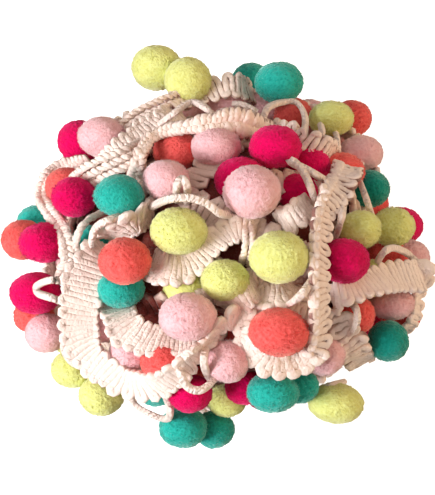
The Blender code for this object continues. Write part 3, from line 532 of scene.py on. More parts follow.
# Turns that are looser or tighter, or whose cords are plaited or lie in ropes: how many ropes, the
# plies of each, the length of a ply's wave and how far it dips, and half its thickness in mm with
# the share of the braid's half-width that adds to it.
ownPlans = {
    "secondTurn": {"ropes": 1, "plies": 3, "wave": 6.0, "dip": 1.4, "thick": (1.15, 0.10),
                   "crease": 1.9, "shadow": 0.05},
    "sideRise": {"ropes": 3, "plies": 2, "wave": 4.8, "dip": 0.62, "thick": (0.95, 0.0),
                 "crease": 2.2, "shadow": 0.2},
    "leftTurn": {"ropes": 1, "plies": 3, "wave": 5.2, "dip": 0.9, "thick": (0.95, 0.05),
                 "crease": 2.2, "shadow": 0.2},
    "topRopes": {"ropes": 3, "plies": 2, "wave": 5.2, "dip": 0.55, "thick": (0.78, 0.0),
                 "crease": 1.9, "shadow": 0.05},
    "topTurn": {"pitch": 5.2, "press": 1.04, "crease": 1.8, "shadow": 0.05},
    "rightPost": {"pitch": 4.6, "press": 1.04, "crease": 1.8, "shadow": 0.05},
    "knotTurn": {"pitch": 5.0, "press": 0.96, "tall": 1.35, "crease": 1.7, "shadow": 0.05},
    "fingerTurn": {"pitch": 6.6, "press": 0.92, "tall": 1.55, "crease": 1.7, "shadow": 0.05},
    "postEdge": {"ropes": 1, "plies": 2, "wave": 6.4, "dip": 0.25, "beads": 0.55, "thick": (1.8, 0.0),
                 "crease": 2.4, "shadow": 0.3, "pucker": 0.08},
    "postRing": {"pitch": 4.5, "press": 1.45, "tall": 1.15, "shadow": 0.95, "pucker": 0.10},
    "innerEdge": {"ropes": 1, "plies": 2, "wave": 5.0, "dip": 0.45, "thick": (0.9, 0.0),
                  "crease": 2.2, "shadow": 0.3},
    "rightTurn": {"pitch": 4.0, "press": 1.20, "crease": 2.6, "shadow": 0.55, "pucker": 0.10},
    "bigCurl": {"press": 1.26, "shadow": 0.8, "pucker": 0.09},
    "underPink": {"pitch": 3.4, "press": 1.26, "shadow": 0.8, "pucker": 0.09},
    "middleTurn": {"pitch": 3.4, "press": 1.26, "shadow": 0.8, "pucker": 0.09},
    "chainTurn": {"ropes": 2, "plies": 2, "wave": 4.4, "dip": 0.45, "thick": (0.8, 0.0),
                  "crease": 2.2, "shadow": 0.2},
    "inner": {"pitch": 5.8},
}


def zigzag(run, facing, plan, seed):
    # The braid's cord: bars from edge to edge, half a pitch apart, joined by half circles. In one
    # pitch the cord runs across, turns, runs back and turns, at an even pace. It is as wide as the
    # space that the braid's bend leaves it: more on the outside of a bend and less on the inside.
    chance = np.random.default_rng(seed)
    ahead, across, normal = rolledFrame(run, facing)
    along = lengthAlong(run[:, :3])
    pitches = max(2, int(round(along[-1] / plan["pitch"])))
    pitch = along[-1] / pitches
    turn = pitch / 4
    bar = run[:, 4].mean() - 4 * turn
    barShare = bar / (2 * bar + 2 * math.pi * turn)
    turnShare = 0.5 - barShare
    q = np.arange(pitches * plan["rings"] + 1) / plan["rings"]
    knots = np.linspace(0, q[-1], 2 * pitches + 1)
    uneven = [np.interp(q, knots, chance.uniform(-1, 1, len(knots))) for _ in range(3)]
    q = np.clip(q + uneven[2] / plan["rings"], 0, q[-1])
    w = q % 1
    half = w % 0.5
    onBar = half < barShare
    way = np.where(w < 0.5, 1.0, -1.0)
    bend = math.pi * np.clip((half - barShare) / turnShare, 0, 1)
    reach = np.where(onBar, 2 * half / barShare - 1, 1.0) * way
    bulge = np.where(onBar, 0.0, np.sin(bend)) * way * turn
    step = np.where(onBar, 0.0, 1 - np.cos(bend)) * turn + np.where(w < 0.5, 0.0, 2 * turn)
    slant = np.sin(2 * math.pi * np.floor(2 * q) * pitch / 2 / plan["sway"] + seed) * plan["slant"]
    s = np.clip(np.floor(q) * pitch + step + slant * reach, 0, along[-1])

    def at(column):
        return np.interp(s, along, column)

    straight = np.maximum(at(run[:, 4]) / 2 - 2 * turn, plan["shortest"]) + uneven[0] * plan["wander"]
    place = np.stack([at(column) for column in run[:, :3].T], axis=1)
    acrossAt = unit(np.stack([at(column) for column in across.T], axis=1))
    normalAt = unit(np.stack([at(column) for column in normal.T], axis=1))
    out = reach * straight + bulge
    rise = uneven[1] * plan["ripple"] + np.where(onBar, 0.0, np.sin(bend)) * plan["knob"]
    line = place + acrossAt * out[:, None] + normalAt * rise[:, None]
    bending = np.sum(np.gradient(across, along, axis=0) * ahead, axis=1)
    space = turn * np.clip(1 + out * at(bending), *plan["room"])
    swell = np.convolve(chance.normal(size=len(q) + 2), (0.25, 0.5, 0.25), "valid") * plan["pucker"]
    wide = np.maximum(space, plan["narrowest"] * turn) * plan["press"] * (1 + swell)
    return line, normalAt, wide, plan["tall"] * (1 + swell), space


def plaited(run, facing, plan, seed):
    # Ropes side by side, each of some plies. A ply sways as a sine of the way along, a share of a
    # wave behind the last one: two plies rise as its cosine, which twists them, and more of them
    # rise at twice the pace, which plaits them across the whole braid.
    chance = np.random.default_rng(seed)
    ahead, side = lineFrame(run[:, :3], facing)
    front = np.cross(side, ahead)
    along = lengthAlong(run[:, :3])
    waves = along[-1] / plan["wave"]
    at = np.linspace(0, along[-1], int(along[-1] / plan["step"]))
    knots = np.arange(0, along[-1] + plan["wave"], plan["wave"] / 3)

    def seen(values):
        return np.stack([np.interp(at, along, column) for column in values.T], axis=1)

    place, sideAt, frontAt = seen(run[:, :3]), unit(seen(side)), unit(seen(front))
    half = np.interp(at, along, run[:, 4] / 2 * np.cos(np.radians(run[:, 3])))
    size = plan["thick"][0] + plan["thick"][1] * half
    for rope in range(plan["ropes"]):
        middle = ((rope + 0.5) / plan["ropes"] * 2 - 1) * half
        twisted = plan["plies"] == 2
        reach = plan["dip"] if twisted else half - size
        slack = np.interp(at, knots, chance.uniform(-1, 1, len(knots))) * plan["slack"]
        for ply in range(plan["plies"]):
            angle = 2 * math.pi * (waves * at / along[-1] + ply / plan["plies"])
            angle = angle + rope * plan["apart"] + slack
            rise = np.cos(angle) if twisted else np.sin(2 * angle)
            uneven = np.interp(at, knots, chance.uniform(-1, 1, len(knots))) * plan["pucker"]
            line = place + sideAt * (middle + reach * np.sin(angle) * (1 + uneven))[:, None]
            thick = size * (1 + uneven) * (1 - plan["beads"] * np.cos(angle) ** plan["beadSharp"])
            yield line + frontAt * (plan["dip"] * rise)[:, None], frontAt, thick, thick, thick


# Painted shade that darkens the cord and the heart the deeper they lie in the ball.
depthShade = {
    "from": 0.80,     # the share of the dome below which the cord is in full painted shade
    "over": 0.14,     # and the share above that by which the painted shade is gone
    "board": 5.0,     # on the far side the painted shade lifts from so many mm above the board
    "fade": 15.0,     # over so many mm
    "far": 0.6,       # and leaves at least this share unshaded, however deep
}


def unshadedShare(points):  # painted shade: what lies deep is darkened, and less so on the side that faces away
    away = np.clip((depthShade["board"] - (points - heart) @ toEye) / depthShade["fade"], 0, 1)
    high = np.clip((domeShare(points) - depthShade["from"]) / depthShade["over"], 0, 1)
    return np.maximum(high, depthShade["far"] * away)


def braidSkin(runs, basic, firstSeed):
    # Every run's cord, with a seed of its own. The cords' tops keep their own colour, and painted
    # shade darkens the clefts between them and what lies deep.
    shapes, start = [], 0.0
    for number, (name, run, facing) in enumerate(runs):
        plan = {**basic, **ownPlans.get(name, {})}
        if "plies" in plan:
            cords = plaited(run, facing, plan, firstSeed + number)
        else:
            cords = [zigzag(run, facing, plan, firstSeed + number)]
        for line, normal, wide, tall, space in cords:
            skin = cordSkin(line, normal, wide, tall, plan, start)
            share = np.append(np.repeat(unshadedShare(line), plan["sides"]), [0, 0])
            reach = np.append(abs(skin.pop("beside")) / np.repeat(space, plan["sides"]), [1, 1])
            # painted shade in the crease where the next bar meets it, times the painted shade of depth
            top = np.clip((1 - reach) * plan["crease"], plan["shadow"], 1)
            skin["tip"] = top * share
            start = skin["along"][:, 0].max()
            shapes.append(skin)
    return joinShapes(shapes)


def towardEye(points):
    return unit(eye - points)


def fromHeart(points):
    return unit(points - heart)


nearSpacing = 2.1  # mm between a near run's rows


def nearRun(rows):
    placed = [(*onSightLine(a, d, domeDepth(a, d) + lift), roll, wide) for a, d, lift, roll, wide in rows]
    return smoothRun(placed, nearSpacing)


def edgeOf(run, share):  # a run along another's nearer edge, so far out as a share of its half-width
    _, across, _ = rolledFrame(run, towardEye(run[:, :3]))
    return np.column_stack([run[:, :3] + across * run[:, 4:] / 2 * share, run[:, 3:]])


farPlan = {
    "tuck": 0.14,    # the share of an arc at each end that is tucked in
    "dive": 15.0,    # how deep below the dome its ends lie
    "wide": 12.0,
    "clear": 1.0,    # kept between its lower edge and the table
    "points": 60,
    "spacing": 4.0,
}


def flatRows(points, wide):  # a run's rows without any roll, all of one width
    return np.column_stack([points, np.zeros(len(points)), np.full(len(points), wide)])


def farRun(tilt, toward, start, sweep, swing, lift):
    # An arc round the heart: tilted, swinging up and down, its two ends tucked into the ball.
    share = np.linspace(0, 1, farPlan["points"])
    bearing = np.radians(toward + start + sweep * share)
    rise = np.radians(tilt + swing * np.sin(2 * math.pi * share) + swing * 0.5 * np.sin(5 * share))
    tall = np.where(rise > 0, dome["up"], dome["under"])
    way = np.stack([dome["x"] * np.cos(rise) * np.cos(bearing),
                    dome["y"] * np.cos(rise) * np.sin(bearing), tall * np.sin(rise)], axis=1)
    tucked = np.clip(np.minimum(share, 1 - share) / farPlan["tuck"], 0, 1)
    lifts = lift - (lift + farPlan["dive"]) * (1 - tucked) ** 2
    points = heart + way * (1 + lifts / np.linalg.norm(way, axis=1))[:, None]
    points[:, 2] = np.maximum(points[:, 2], farPlan["wide"] / 2 + farPlan["clear"])
    return smoothRun(flatRows(points, farPlan["wide"]), farPlan["spacing"])


nearRuns = {name: nearRun(rows) for name, rows in nearTurns.items()}
farRuns = {name: farRun(*row) for name, row in farTurns.items()}

inner = {
    "turns": 13,
    "share": 0.80,    # how far out they lie, as a share of the dome, and how far they swing
    "swing": 0.04,
    "wide": 13.0,
    "lowest": 2.0,    # their middle line's least height over the table
    "points": 48,
    "spacing": 4.0,
}


def innerRun(number):
    # A whole turn round the heart, well inside the dome: a great circle whose pole is one of an
    # even spread over the ball, and which swings a little in and out.
    height = 1 - 2 * (number + 0.5) / inner["turns"]
    turn = number * math.pi * (3 - math.sqrt(5))
    pole = np.array([math.sqrt(1 - height ** 2) * math.cos(turn),
                     math.sqrt(1 - height ** 2) * math.sin(turn), height])
    first = unit(np.cross(pole, (0.31, 0.52, 0.79)))
    second = np.cross(pole, first)
    angle = np.linspace(0, 2 * math.pi, inner["points"])
    way = np.cos(angle)[:, None] * first + np.sin(angle)[:, None] * second
    share = inner["share"] + inner["swing"] * np.sin(3 * angle + number)
    points = heart + way * domeSizes(way) * share[:, None]
    points[:, 2] = np.maximum(points[:, 2], inner["lowest"])
    return smoothRun(flatRows(points, inner["wide"]), inner["spacing"])


spread = {
    "size": 18.6,        # a pompom's usual width, and the least and most shares of it
    "least": 0.92,
    "most": 1.06,
    "pressed": 0.86,     # how near two may press, as a share of their radii together
    "rounds": 60,        # rounds of pushing apart
    "places": 118,       # places tried round the back
    "start": 11.0,       # how near another pompom one may be placed, and what it is pushed to
    "space": 18.0,
    "lift": -1.6,        # where their middles end up, from the dome
    "behind": -4.0,      # they keep so far behind the board
    "rest": 28.0,        # and so far from the spot that the ball rests on
    "sink": 0.8,         # how far a low one presses into the table
    "squash": (1.05, 1.0, 0.93),
    "thick": 3.6,        # the braid's thickness, for what is pushed clear of it
    "bareReach": 19,     # board steps round a bare spot
}
bareSpots = ((152, 98), (130, 107), (114, 112), (36, 267))  # places where the rim shows no pompom
fillColours = {0: "pink", 1: "pink", 3: "coral", 5: "pink", 6: "coral", 20: "pink"}  # by their order


def seenPlace(point):  # the board place that a point is seen at
    depth = (point - heart) @ toEye
    flat = (point - heart - depth * toEye) / (1 - depth / board["eye"]) / board["step"]
    return np.array([board["across"] + flat @ boardAcross, board["down"] - flat @ boardUp])


def nearPompoms():  # each slides back along its sight line until none is crushed
    balls = []
    for name, across, down, wide, tall, lift in pompomRows:
        depth = domeDepth(across, down) + lift
        seen = board["step"] * (board["eye"] - depth) / board["eye"]
        radius = np.clip(wide * seen, spread["least"] * spread["size"], spread["most"] * spread["size"]) / 2
        balls.append({"name": name, "across": across, "down": down, "depth": depth, "radius": radius,
                      "middle": onSightLine(across, down, depth), "wide": wide * seen / 2,
                      "tall": tall * seen / 2})
    for _ in range(spread["rounds"]):
        for i, one in enumerate(balls):
            for other in balls[i + 1:]:
                wanted = spread["pressed"] * (one["radius"] + other["radius"])
                short = wanted - np.linalg.norm(one["middle"] - other["middle"])
                if short > 0:  # the one behind goes back by half of what is short, and a little more
                    back = one if one["depth"] < other["depth"] else other
                    back["depth"] -= 0.5 * short + 0.05
                    back["middle"] = onSightLine(back["across"], back["down"], back["depth"])
    return balls


def fillPompoms(near, runs):
    # Even places over the dome, less those taken. Each is pushed by a share of what is short, away
    # from the others and from the runs, and drawn halfway back to the dome, round after round.
    golden = math.pi * (3 - math.sqrt(5))
    runPoints = np.vstack([run[:, :3] for run in runs])
    lowest = spread["squash"][2]

    def crowded(middle, others, space):
        return any(np.linalg.norm(middle - other["middle"]) < space for other in others)

    kept = []
    for k in range(spread["places"]):
        height = 1 - 2 * (k + 0.5) / spread["places"]
        ring = math.sqrt(1 - height * height)
        tall = dome["up"] if height > 0 else dome["under"]
        middle = heart + np.array([dome["x"] * ring * math.cos(golden * k),
                                   dome["y"] * ring * math.sin(golden * k), tall * height])
        radius = spread["size"] / 2 * (0.95 + 0.04 * math.sin(2.3 * k))
        middle[2] = max(middle[2], radius * lowest - spread["sink"])
        onTable = math.hypot(middle[0], middle[1]) < spread["rest"] + radius
        if onTable or (middle - heart) @ toEye > spread["behind"]:
            continue
        if not crowded(middle, near + kept, spread["start"]):
            kept.append({"middle": middle, "radius": radius})
    for _ in range(spread["rounds"]):
        for ball in kept:
            push = np.zeros(3)
            for other in near + kept:
                apart = ball["middle"] - other["middle"]
                gap = np.linalg.norm(apart)
                if other is not ball and gap < spread["space"]:
                    push += apart / gap * (spread["space"] - gap) * 0.5
            apart = ball["middle"] - runPoints
            gaps = np.linalg.norm(apart, axis=1)
            nearest = int(np.argmin(gaps))
            room = ball["radius"] + spread["thick"] / 2
            if gaps[nearest] < room:
                push += apart[nearest] / gaps[nearest] * (room - gaps[nearest]) * 0.4
            middle = ball["middle"] + push
            share = domeShare(middle) * (1 - spread["lift"] / dome["y"])
            middle = heart + (middle - heart) * (1 + 0.5 * (1 / share - 1))
            middle[2] = max(middle[2], ball["radius"] * lowest - spread["sink"])
            ball["middle"] = middle
    settled = []
    for ball in kept:
        bare = min(np.linalg.norm(seenPlace(ball["middle"]) - spot) for spot in bareSpots)
        tooNear = crowded(ball["middle"], near + settled, spread["pressed"] * spread["space"])
        if bare > spread["bareReach"] and not tooNear:
            settled.append(ball)
    return settled


near = nearPompoms()
fill = fillPompoms(near, list(nearRuns.values()) + list(farRuns.values()))
print(f"laid out {len(near)} pompoms near and {len(fill)} round the back")

pile = {
    "cells": 18,           # cells along each side of the ball's six patches
    "fillCells": 14,
    "tuft": 0.62,          # how far the tufts stand out, in mm
    "short": 1.4,          # above 1, more of them are short
    "lump": 0.30,          # how uneven the clipped ball is, and how many lumps it has
    "lumpPace": 2.4,
    "fuzz": 900,           # loose fibre ends on each ball
    "fillFuzz": 260,
    "fibre": (0.35, 0.9),  # their shortest and longest reach
    "fibreWide": 0.17,
    "fibreLean": 0.70,
    "rooted": 0.25,        # how deep they start
    "bare": 0.4,           # no fibre stands so near to where a neighbour presses
    "flat": 0.6,           # and the tufts fade over this depth there
    "tone": (0.40, 0.30),  # how unshaded the shortest tuft is, and how much more the longest: short tufts get painted shade
    "fibreTone": (0.7, 0.7, 0.7, 1.3),  # the same at a fibre's three feet, in painted shade, and at its tip, over 1 for a painted highlight,
    "fade": (0.1, 1.0),    # times a share between these
    "lean": 0.44,          # share of the ball's own roundness in how the pile catches light
    "deeper": 0.97,        # a pompom's size toward the eye, as a share of its width
    "fuzzy": 0.35,         # how much of its seen size is loose fibre ends
    "full": 0.2,           # by how much those round the back are larger than they were laid out
    "clear": 0.15,         # kept between two pompoms that press on each other
}


def cubeBall(cells):
    # A ball from six square patches of (u, v), each point being (1, tan(45 u), tan(45 v)) drawn to
    # length 1 and turned to its patch's side. Points that the patches share are joined.
    u, v = np.meshgrid(np.linspace(-1, 1, cells + 1), np.linspace(-1, 1, cells + 1))
    a, b = np.tan(u * math.pi / 4).ravel(), np.tan(v * math.pi / 4).ravel()
    one = np.ones_like(a)
    sides = ((one, a, b), (-one, -a, b), (-a, one, b), (a, -one, b), (-b, a, one), (b, a, -one))
    points = unit(np.vstack([np.stack(side, axis=1) for side in sides]))
    corner = (np.arange(cells)[:, None] * (cells + 1) + np.arange(cells)).ravel()
    patch = np.stack([corner, corner + 1, corner + cells + 2, corner + cells + 1], axis=1)
    quads = np.vstack([patch + k * (cells + 1) ** 2 for k in range(6)])
    _, first, where = np.unique(np.round(points, 5) + 0.0, axis=0, return_index=True, return_inverse=True)
    return points[first], where.ravel()[quads]


def turned(chance):  # a random turn, as a matrix of three square unit vectors
    first, other = unit(chance.normal(size=(2, 3)))
    third = unit(np.cross(first, other))
    return np.stack([first, np.cross(third, first), third])


def pompom(ball, others, cells, fuzz, chance):
    # A clipped ball of pile. Each point of a turned ball stands out by its tuft's length, plus slow
    # lumps from three crossing waves; where a neighbour presses, it is drawn in to the plane
    # between them. Thin four-sided fibre ends stand on it, leaning at random.
    ways, quads = cubeBall(cells)
    ways = ways @ turned(chance)
    axes = ball["axes"]
    waves = chance.normal(size=(3, 3)) * pile["lumpPace"]
    lumps = np.sin(ways @ waves.T + chance.uniform(0, 6.3, 3)).sum(axis=1) / 3
    tuft = chance.uniform(0, 1, len(ways)) ** pile["short"]
    base = ways @ axes
    out = unit(ways @ np.linalg.inv(axes).T)

    def pressedIn(points):
        for apart, limit in others:
            reach = points @ apart
            points = points * np.where(reach > limit, limit / np.maximum(reach, 1e-6), 1)[:, None]
        return points

    free = np.ones(len(ways))
    for apart, limit in others:
        free = np.minimum(free, np.clip((limit - base @ apart) / pile["flat"] + 0.5, 0, 1))
    points = pressedIn(base + out * (lumps * pile["lump"] + (tuft - 0.5) * pile["tuft"] * free)[:, None])

    stems = unit(chance.normal(size=(fuzz, 3)))
    roots = stems @ axes
    stand = unit(stems @ np.linalg.inv(axes).T)
    kept = np.ones(fuzz, bool)
    for apart, limit in others:
        kept &= roots @ apart < limit - pile["bare"]
    roots, stand = roots[kept], stand[kept]
    lean = unit(stand + chance.normal(size=roots.shape) * pile["fibreLean"])
    reach = chance.uniform(*pile["fibre"], len(roots))[:, None]
    sideways = unit(np.cross(lean, chance.normal(size=roots.shape)))
    angle = np.arange(3) * 2 * math.pi / 3
    ring = (np.cos(angle)[None, :, None] * sideways[:, None]
            + np.sin(angle)[None, :, None] * np.cross(lean, sideways)[:, None]) * pile["fibreWide"]
    feet = (roots - stand * pile["rooted"])[:, None] + ring
    tips = (roots + lean * reach)[:, None]
    fibres = np.concatenate([feet, tips], axis=1).reshape(-1, 3)
    four = np.arange(len(roots))[:, None, None] * 4 + len(ways)
    tris = (four + np.array([(0, 1, 3), (1, 2, 3), (2, 0, 3), (0, 2, 1)])).reshape(-1, 3)
    tone = chance.uniform(*pile["fade"], len(roots))
    least, more = pile["tone"]
    # painted shade on short tufts, where a neighbour presses and at fibre feet; painted highlight at fibre
    # tips
    tip = np.concatenate([least + more * tuft * free, np.outer(tone, pile["fibreTone"]).ravel()])
    away = np.concatenate([out, np.repeat(stand, 4, axis=0)])
    return {"points": np.vstack([points, fibres]) + ball["middle"], "quads": quads, "tris": tris,
            "tip": tip, "away": away}


def pressing(ball, everyone):  # the planes where neighbours press, as a way and a distance along it
    planes = []
    for other in everyone:
        apart = other["middle"] - ball["middle"]
        gap = np.linalg.norm(apart)
        if 0 < gap < ball["reach"] + other["reach"] + pile["clear"]:
            way = apart / gap
            mine, theirs = (np.linalg.norm(one["axes"] @ way) for one in (ball, other))
            if gap < mine + theirs + pile["clear"]:
                limit = (gap ** 2 + mine ** 2 - theirs ** 2) / (2 * gap) - pile["clear"] / 2
                planes.append((way, max(limit, 0.25 * mine)))  # a quarter always stays
    return planes


for ball in near:
    sizes = np.array([ball["wide"], ball["tall"], ball["wide"] * pile["deeper"]]) - pile["fuzzy"]
    ball["axes"] = sizes[:, None] * np.stack([boardAcross, boardUp, toEye])
for ball in fill:
    ball["axes"] = np.diag(np.array(spread["squash"]) * (ball["radius"] + pile["full"]))
for ball in near + fill:
    ball["reach"] = max(np.linalg.norm(ball["axes"], axis=1))

# The pile's clipped ends, its roots in painted shade and the painted highlight on its loose tips,
# which also tints its sheen, as a screen shows them, and how much its grain mixes the first two.
colours = {
    "yellow": {"ends": (236, 241, 158), "roots": (204, 200, 78), "rim": (250, 252, 205), "grain": 0.22},
    "teal": {"ends": (44, 186, 172), "roots": (0, 132, 118), "rim": (176, 226, 216), "grain": 0.5},
    "pink": {"ends": (250, 203, 208), "roots": (228, 154, 158), "rim": (255, 232, 232), "grain": 0.24},
    "magenta": {"ends": (238, 2, 98), "roots": (178, 0, 60), "rim": (255, 100, 155), "grain": 0.25},
    "coral": {"ends": (253, 110, 106), "roots": (214, 46, 46), "rim": (255, 175, 160), "grain": 0.4},
}
pileLook = {
    "sheen": 0.45,        # how wide the pale rim of a pompom is
    "grain": 1000.0,      # the grain's pace, and that of the slow worn patches, per metre
    "patch": 160.0,
    "worn": 0.08,         # how much of the roots the patches show, and between which noise values
    "wornOver": (0.35, 0.75),
    "tip": 0.7,           # how much of a tuft's length counts
    "unshaded": (0.0, 0.56),  # between these it goes from its roots' painted shade to its ends' colour
    "loose": (0.7, 1.3),   # and between these a fibre's tip pales with a painted highlight
    "bump": 0.8,          # the strength of the grain's relief, and its height in metres
    "relief": 0.0007,
}


def pileFinish(colour):
    shades = colours[colour]
    ends, roots, rim = (linear(*shades[key]) for key in ("ends", "roots", "rim"))
    finish = Finish(f"{colour}Pile", {"Roughness": 1.0, "Sheen Weight": 1.0, "Sheen Tint": rim,
                                      "Sheen Roughness": pileLook["sheen"], "Specular IOR Level": 0.1})
    spot = finish.node("ShaderNodeTexCoord", {}, {}, output="Object")
    tip = finish.node("ShaderNodeAttribute", {"attribute_name": "tip"}, {}, output="Fac")
    grain = finish.noise(spot, pileLook["grain"])
    patch = finish.noise(spot, pileLook["patch"])
    # the roots' colour is painted shade deep in the pile, the rim colour on fibre tips a painted highlight
    unshaded = finish.spread(tip * pileLook["tip"] + (grain - 0.5) * shades["grain"],
                          *pileLook["unshaded"])
    fuzz = finish.mix(finish.spread(tip, *pileLook["loose"]), finish.mix(unshaded, roots, ends), rim)
    worn = finish.mix(finish.spread(patch, *pileLook["wornOver"]) * pileLook["worn"], fuzz, roots)
    bump = finish.node("ShaderNodeBump", {}, {"Height": grain, "Strength": pileLook["bump"],
                                              "Distance": pileLook["relief"]})
    finish.feed(finish.shader, {"Base Color": worn, "Normal": bump})
    return finish


shadedPompoms = {"teal_9": 0.35, "teal_10": 0.35, "magenta_10": 0.7}  # pompoms that lie in the ball's shadow, darkened with painted shade by these shares
firstBall = 500  # the first pompom's seed
piles = {colour: pileFinish(colour) for colour in colours}
everyone = near + fill
names = list(colours)
tucked = {colour: [] for colour in colours}
shown = {colour: [] for colour in colours}
for number, ball in enumerate(everyone):  # those round the back are dealt the colours in turn
    chance = np.random.default_rng(firstBall + number)
    planes = pressing(ball, everyone)
    name = ball.get("name", "")
    if not name or name.startswith("tucked"):
        dealt = fillColours.get(number - len(near), names[(number * 7 + number // 3) % len(names)])
        colour = name.split()[1] if name else dealt
        tucked[colour].append(pompom(ball, planes, pile["fillCells"], pile["fillFuzz"], chance))
    else:
        colour = name.split("_")[0]
        shape = pompom(ball, planes, pile["cells"], pile["fuzz"], chance)
        shape["tip"] *= shadedPompoms.get(name, 1.0)
        shown[colour].append((name, shape))
for colour, finish in piles.items():
    nodes, shapes = zip(*shown[colour])
    meshOf(f"{colour}Pompoms", joinShapes(shapes), finish, colour, nodes)
    meshOf(f"{colour}PompomsTucked", joinShapes(tucked[colour]), finish, colour, ["braid"])

yarnLook = {
    "twist": (300.0, 1.0),  # the noise that shifts the strands: its pace per metre and its detail
    "grain": 1400.0,        # the pace of the yarn's own grain, and how much of the relief it is
    "grainShare": 0.35,
    "speckle": 0.25,        # how much of it there is in the colour
    "paintedShade": (0.0, 0.2),    # between these the painted shade goes from the deep shade to the clefts' shade
    "unshaded": (0.1, 0.75),   # and between these from that painted shade to the tops' own colour
    "line": (0.15, 0.7),    # between these heights a painted-shade line between strands ends
    "bump": 0.8,            # the strength of the relief, and its height in metres
    "relief": 0.0009,
}


def yarnFinish(name, ridge, lined):
    # Strands round the cord both ways, the higher of the two showing. "ridge" is how high they
    # stand, and "lined" how dark the painted shade in the lines between them is.
    finish = Finish(name, {"Roughness": 0.92, "Sheen Weight": 0.15, "Sheen Roughness": 0.5,
                           "Specular IOR Level": 0.2})
    tops, clefts, depths = (linear(*yarn[key]) for key in ("unshaded", "cleftShade", "deep"))
    place = finish.node("ShaderNodeUVMap", {"uv_map": "yarn"}, {})
    u = finish.node("ShaderNodeSeparateXYZ", {}, {"Vector": place}, output="X")
    v = finish.node("ShaderNodeSeparateXYZ", {}, {"Vector": place}, output="Y")
    spot = finish.node("ShaderNodeTexCoord", {}, {}, output="Object")
    tip = finish.node("ShaderNodeAttribute", {"attribute_name": "tip"}, {}, output="Fac")
    lay = u * (1 / yarn["twist"]) + finish.noise(spot, *yarnLook["twist"]) * yarn["slack"]
    one = lay + v * yarn["strands"]
    other = lay - v * yarn["strands"]
    ridges = [finish.node("ShaderNodeMath", {"operation": "PINGPONG"}, {0: way, 1: 0.5}) * 2
              for way in (one, other)]
    plait = finish.node("ShaderNodeMath", {"operation": "MAXIMUM"}, {0: ridges[0], 1: ridges[1]})
    grain = finish.noise(spot, yarnLook["grain"])
    # painted shade: deep in the ball, in the clefts and in the lines between strands
    paintedShade = finish.mix(finish.spread(tip, *yarnLook["paintedShade"]), depths, clefts)
    unshaded = finish.spread(tip + grain * yarnLook["speckle"], *yarnLook["unshaded"])
    body = finish.mix(unshaded, paintedShade, tops)
    line = (1 - finish.spread(plait, *yarnLook["line"])) * lined * tip
    height = plait * ridge + grain * yarnLook["grainShare"]
    bump = finish.node("ShaderNodeBump", {}, {"Height": height, "Strength": yarnLook["bump"],
                                              "Distance": yarnLook["relief"]})
    finish.feed(finish.shader, {"Base Color": finish.mix(line, body, clefts), "Normal": bump})
    return finish


cordYarn = yarnFinish("cordYarn", ridge=0.22, lined=0.12)
loopYarn = yarnFinish("loopYarn", ridge=0.8, lined=0.22)

drawn = {
    "ropes": 0.56,          # the share of the top turn whose cords lie in ropes
    "overlap": 6,           # rows by which its bars start before the ropes end
    "ring": 346,            # how far down the board the right post's face gives way to its ring
    "ringUp": 2.5,          # how far up the board the ring is drawn, in mm
    "lap": 2,               # rows that face and ring share, each way
    "edge": (4, 0.5),       # the row where the post's edge rope starts, and how far out it lies
    "fingers": (5, -7),     # the rows between which the fingers show
    "right": 4,             # the row from which the right turn shows
    "farRings": 22,         # rings to each pitch on the far side
    "inner": {"sides": 6, "rings": 11},
    "seeds": (10, 40, 60),  # the first seeds of the near, far and inner cords
}
topRun, postRun, fingerRun = (nearRuns[name] for name in ("topTurn", "rightPost", "fingerTurn"))
ropesEnd = int(drawn["ropes"] * len(topRun))
postEnd = next(k for k in range(len(postRun)) if seenPlace(postRun[k, :3])[1] > drawn["ring"])
edgeStart, edgeOut = drawn["edge"]
postFace = postRun[:postEnd + drawn["lap"]]
drawnRuns = {
    **nearRuns,
    "topTurn": topRun[ropesEnd - drawn["overlap"]:],
    "topRopes": topRun[:ropesEnd],
    "rightPost": postFace,
    "postRing": postRun[postEnd - drawn["lap"]:] + (*(boardUp * drawn["ringUp"]), 0, 0),
    "postEdge": edgeOf(postFace[edgeStart:], edgeOut),
    "fingerTurn": fingerRun[slice(*drawn["fingers"])],
    "rightTurn": nearRuns["rightTurn"][drawn["right"]:],
}
nearLines = [(name, run, towardEye(run[:, :3])) for name, run in drawnRuns.items()]
farLines = [(name, run, fromHeart(run[:, :3])) for name, run in farRuns.items()]
innerLines = [("inner", run, fromHeart(run[:, :3])) for run in map(innerRun, range(inner["turns"]))]
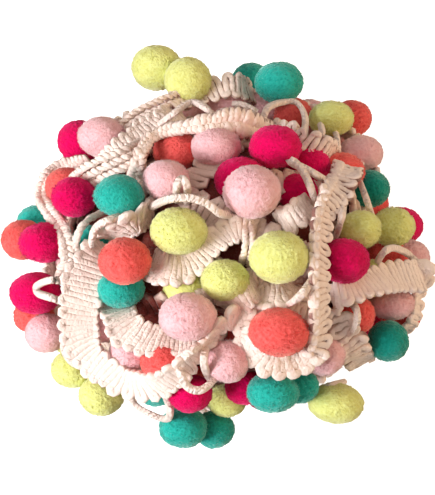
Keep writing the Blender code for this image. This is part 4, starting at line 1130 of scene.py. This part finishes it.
for name, lines, plan, firstSeed in zip(
        ("braidNear", "braidFar", "braidInner"), (nearLines, farLines, innerLines),
        (braid, {**braid, "rings": drawn["farRings"]}, {**braid, **drawn["inner"]}), drawn["seeds"]):
    meshOf(name, braidSkin(lines, plan, firstSeed), cordYarn, "braid", ["braid"])

loops = {
    "wide": 1.35,         # half the cord's width and height, in mm
    "tall": 1.15,
    "sides": 10,
    "upward": 0.0,
    "knit": 0.02,
    "spacing": 0.8,       # between its rings
    "depthShade": (0.75, 0.2),  # the share of the dome below which it takes painted shade, and how fast that clears
}
shapes, start = [], 0.0
for rows in cordLoops.values():
    line = smoothRun([onSightLine(a, d, domeDepth(a, d) + lift) for a, d, lift in rows], loops["spacing"])
    ahead, side = lineFrame(line, fromHeart(line))
    skin = cordSkin(line, np.cross(side, ahead), loops["wide"], loops["tall"], loops, start)
    skin.pop("beside")
    # painted shade, darker the deeper the loop lies
    unshaded = np.clip((domeShare(line) - loops["depthShade"][0]) / loops["depthShade"][1], 0, 1)
    skin["tip"] = np.append(np.repeat(unshaded, loops["sides"]), [0, 0])
    start = skin["along"][:, 0].max()
    shapes.append(skin)
meshOf("cordLoops", joinShapes(shapes), loopYarn, "braid", ["braid"])

heartSkin = {
    "share": 0.78,    # its size as a share of the dome's
    "cells": 20,
    "unshaded": 0.5,     # its share of the cord's unshaded tone there; the rest is painted shade
    "ripple": 0.012,  # how far three crossing waves raise it, as a share of its size
    "waves": ((31, 7, 12), (5, 29, -9), (9, -11, 33)),
}
ways, quads = cubeBall(heartSkin["cells"])
ripple = 1 + heartSkin["ripple"] * np.sin(ways @ np.array(heartSkin["waves"]).T).sum(axis=1)
points = heart + ways * domeSizes(ways) * (heartSkin["share"] * ripple)[:, None]
points[:, 2] = np.maximum(points[:, 2], 0.0)
meshOf("woundHeart", {"points": points, "quads": quads, "tris": np.zeros((0, 3), int),
                      "tip": heartSkin["unshaded"] * unshadedShare(points),
                      "along": np.zeros((quads.size, 2))}, cordYarn, "braid", ["braid"])
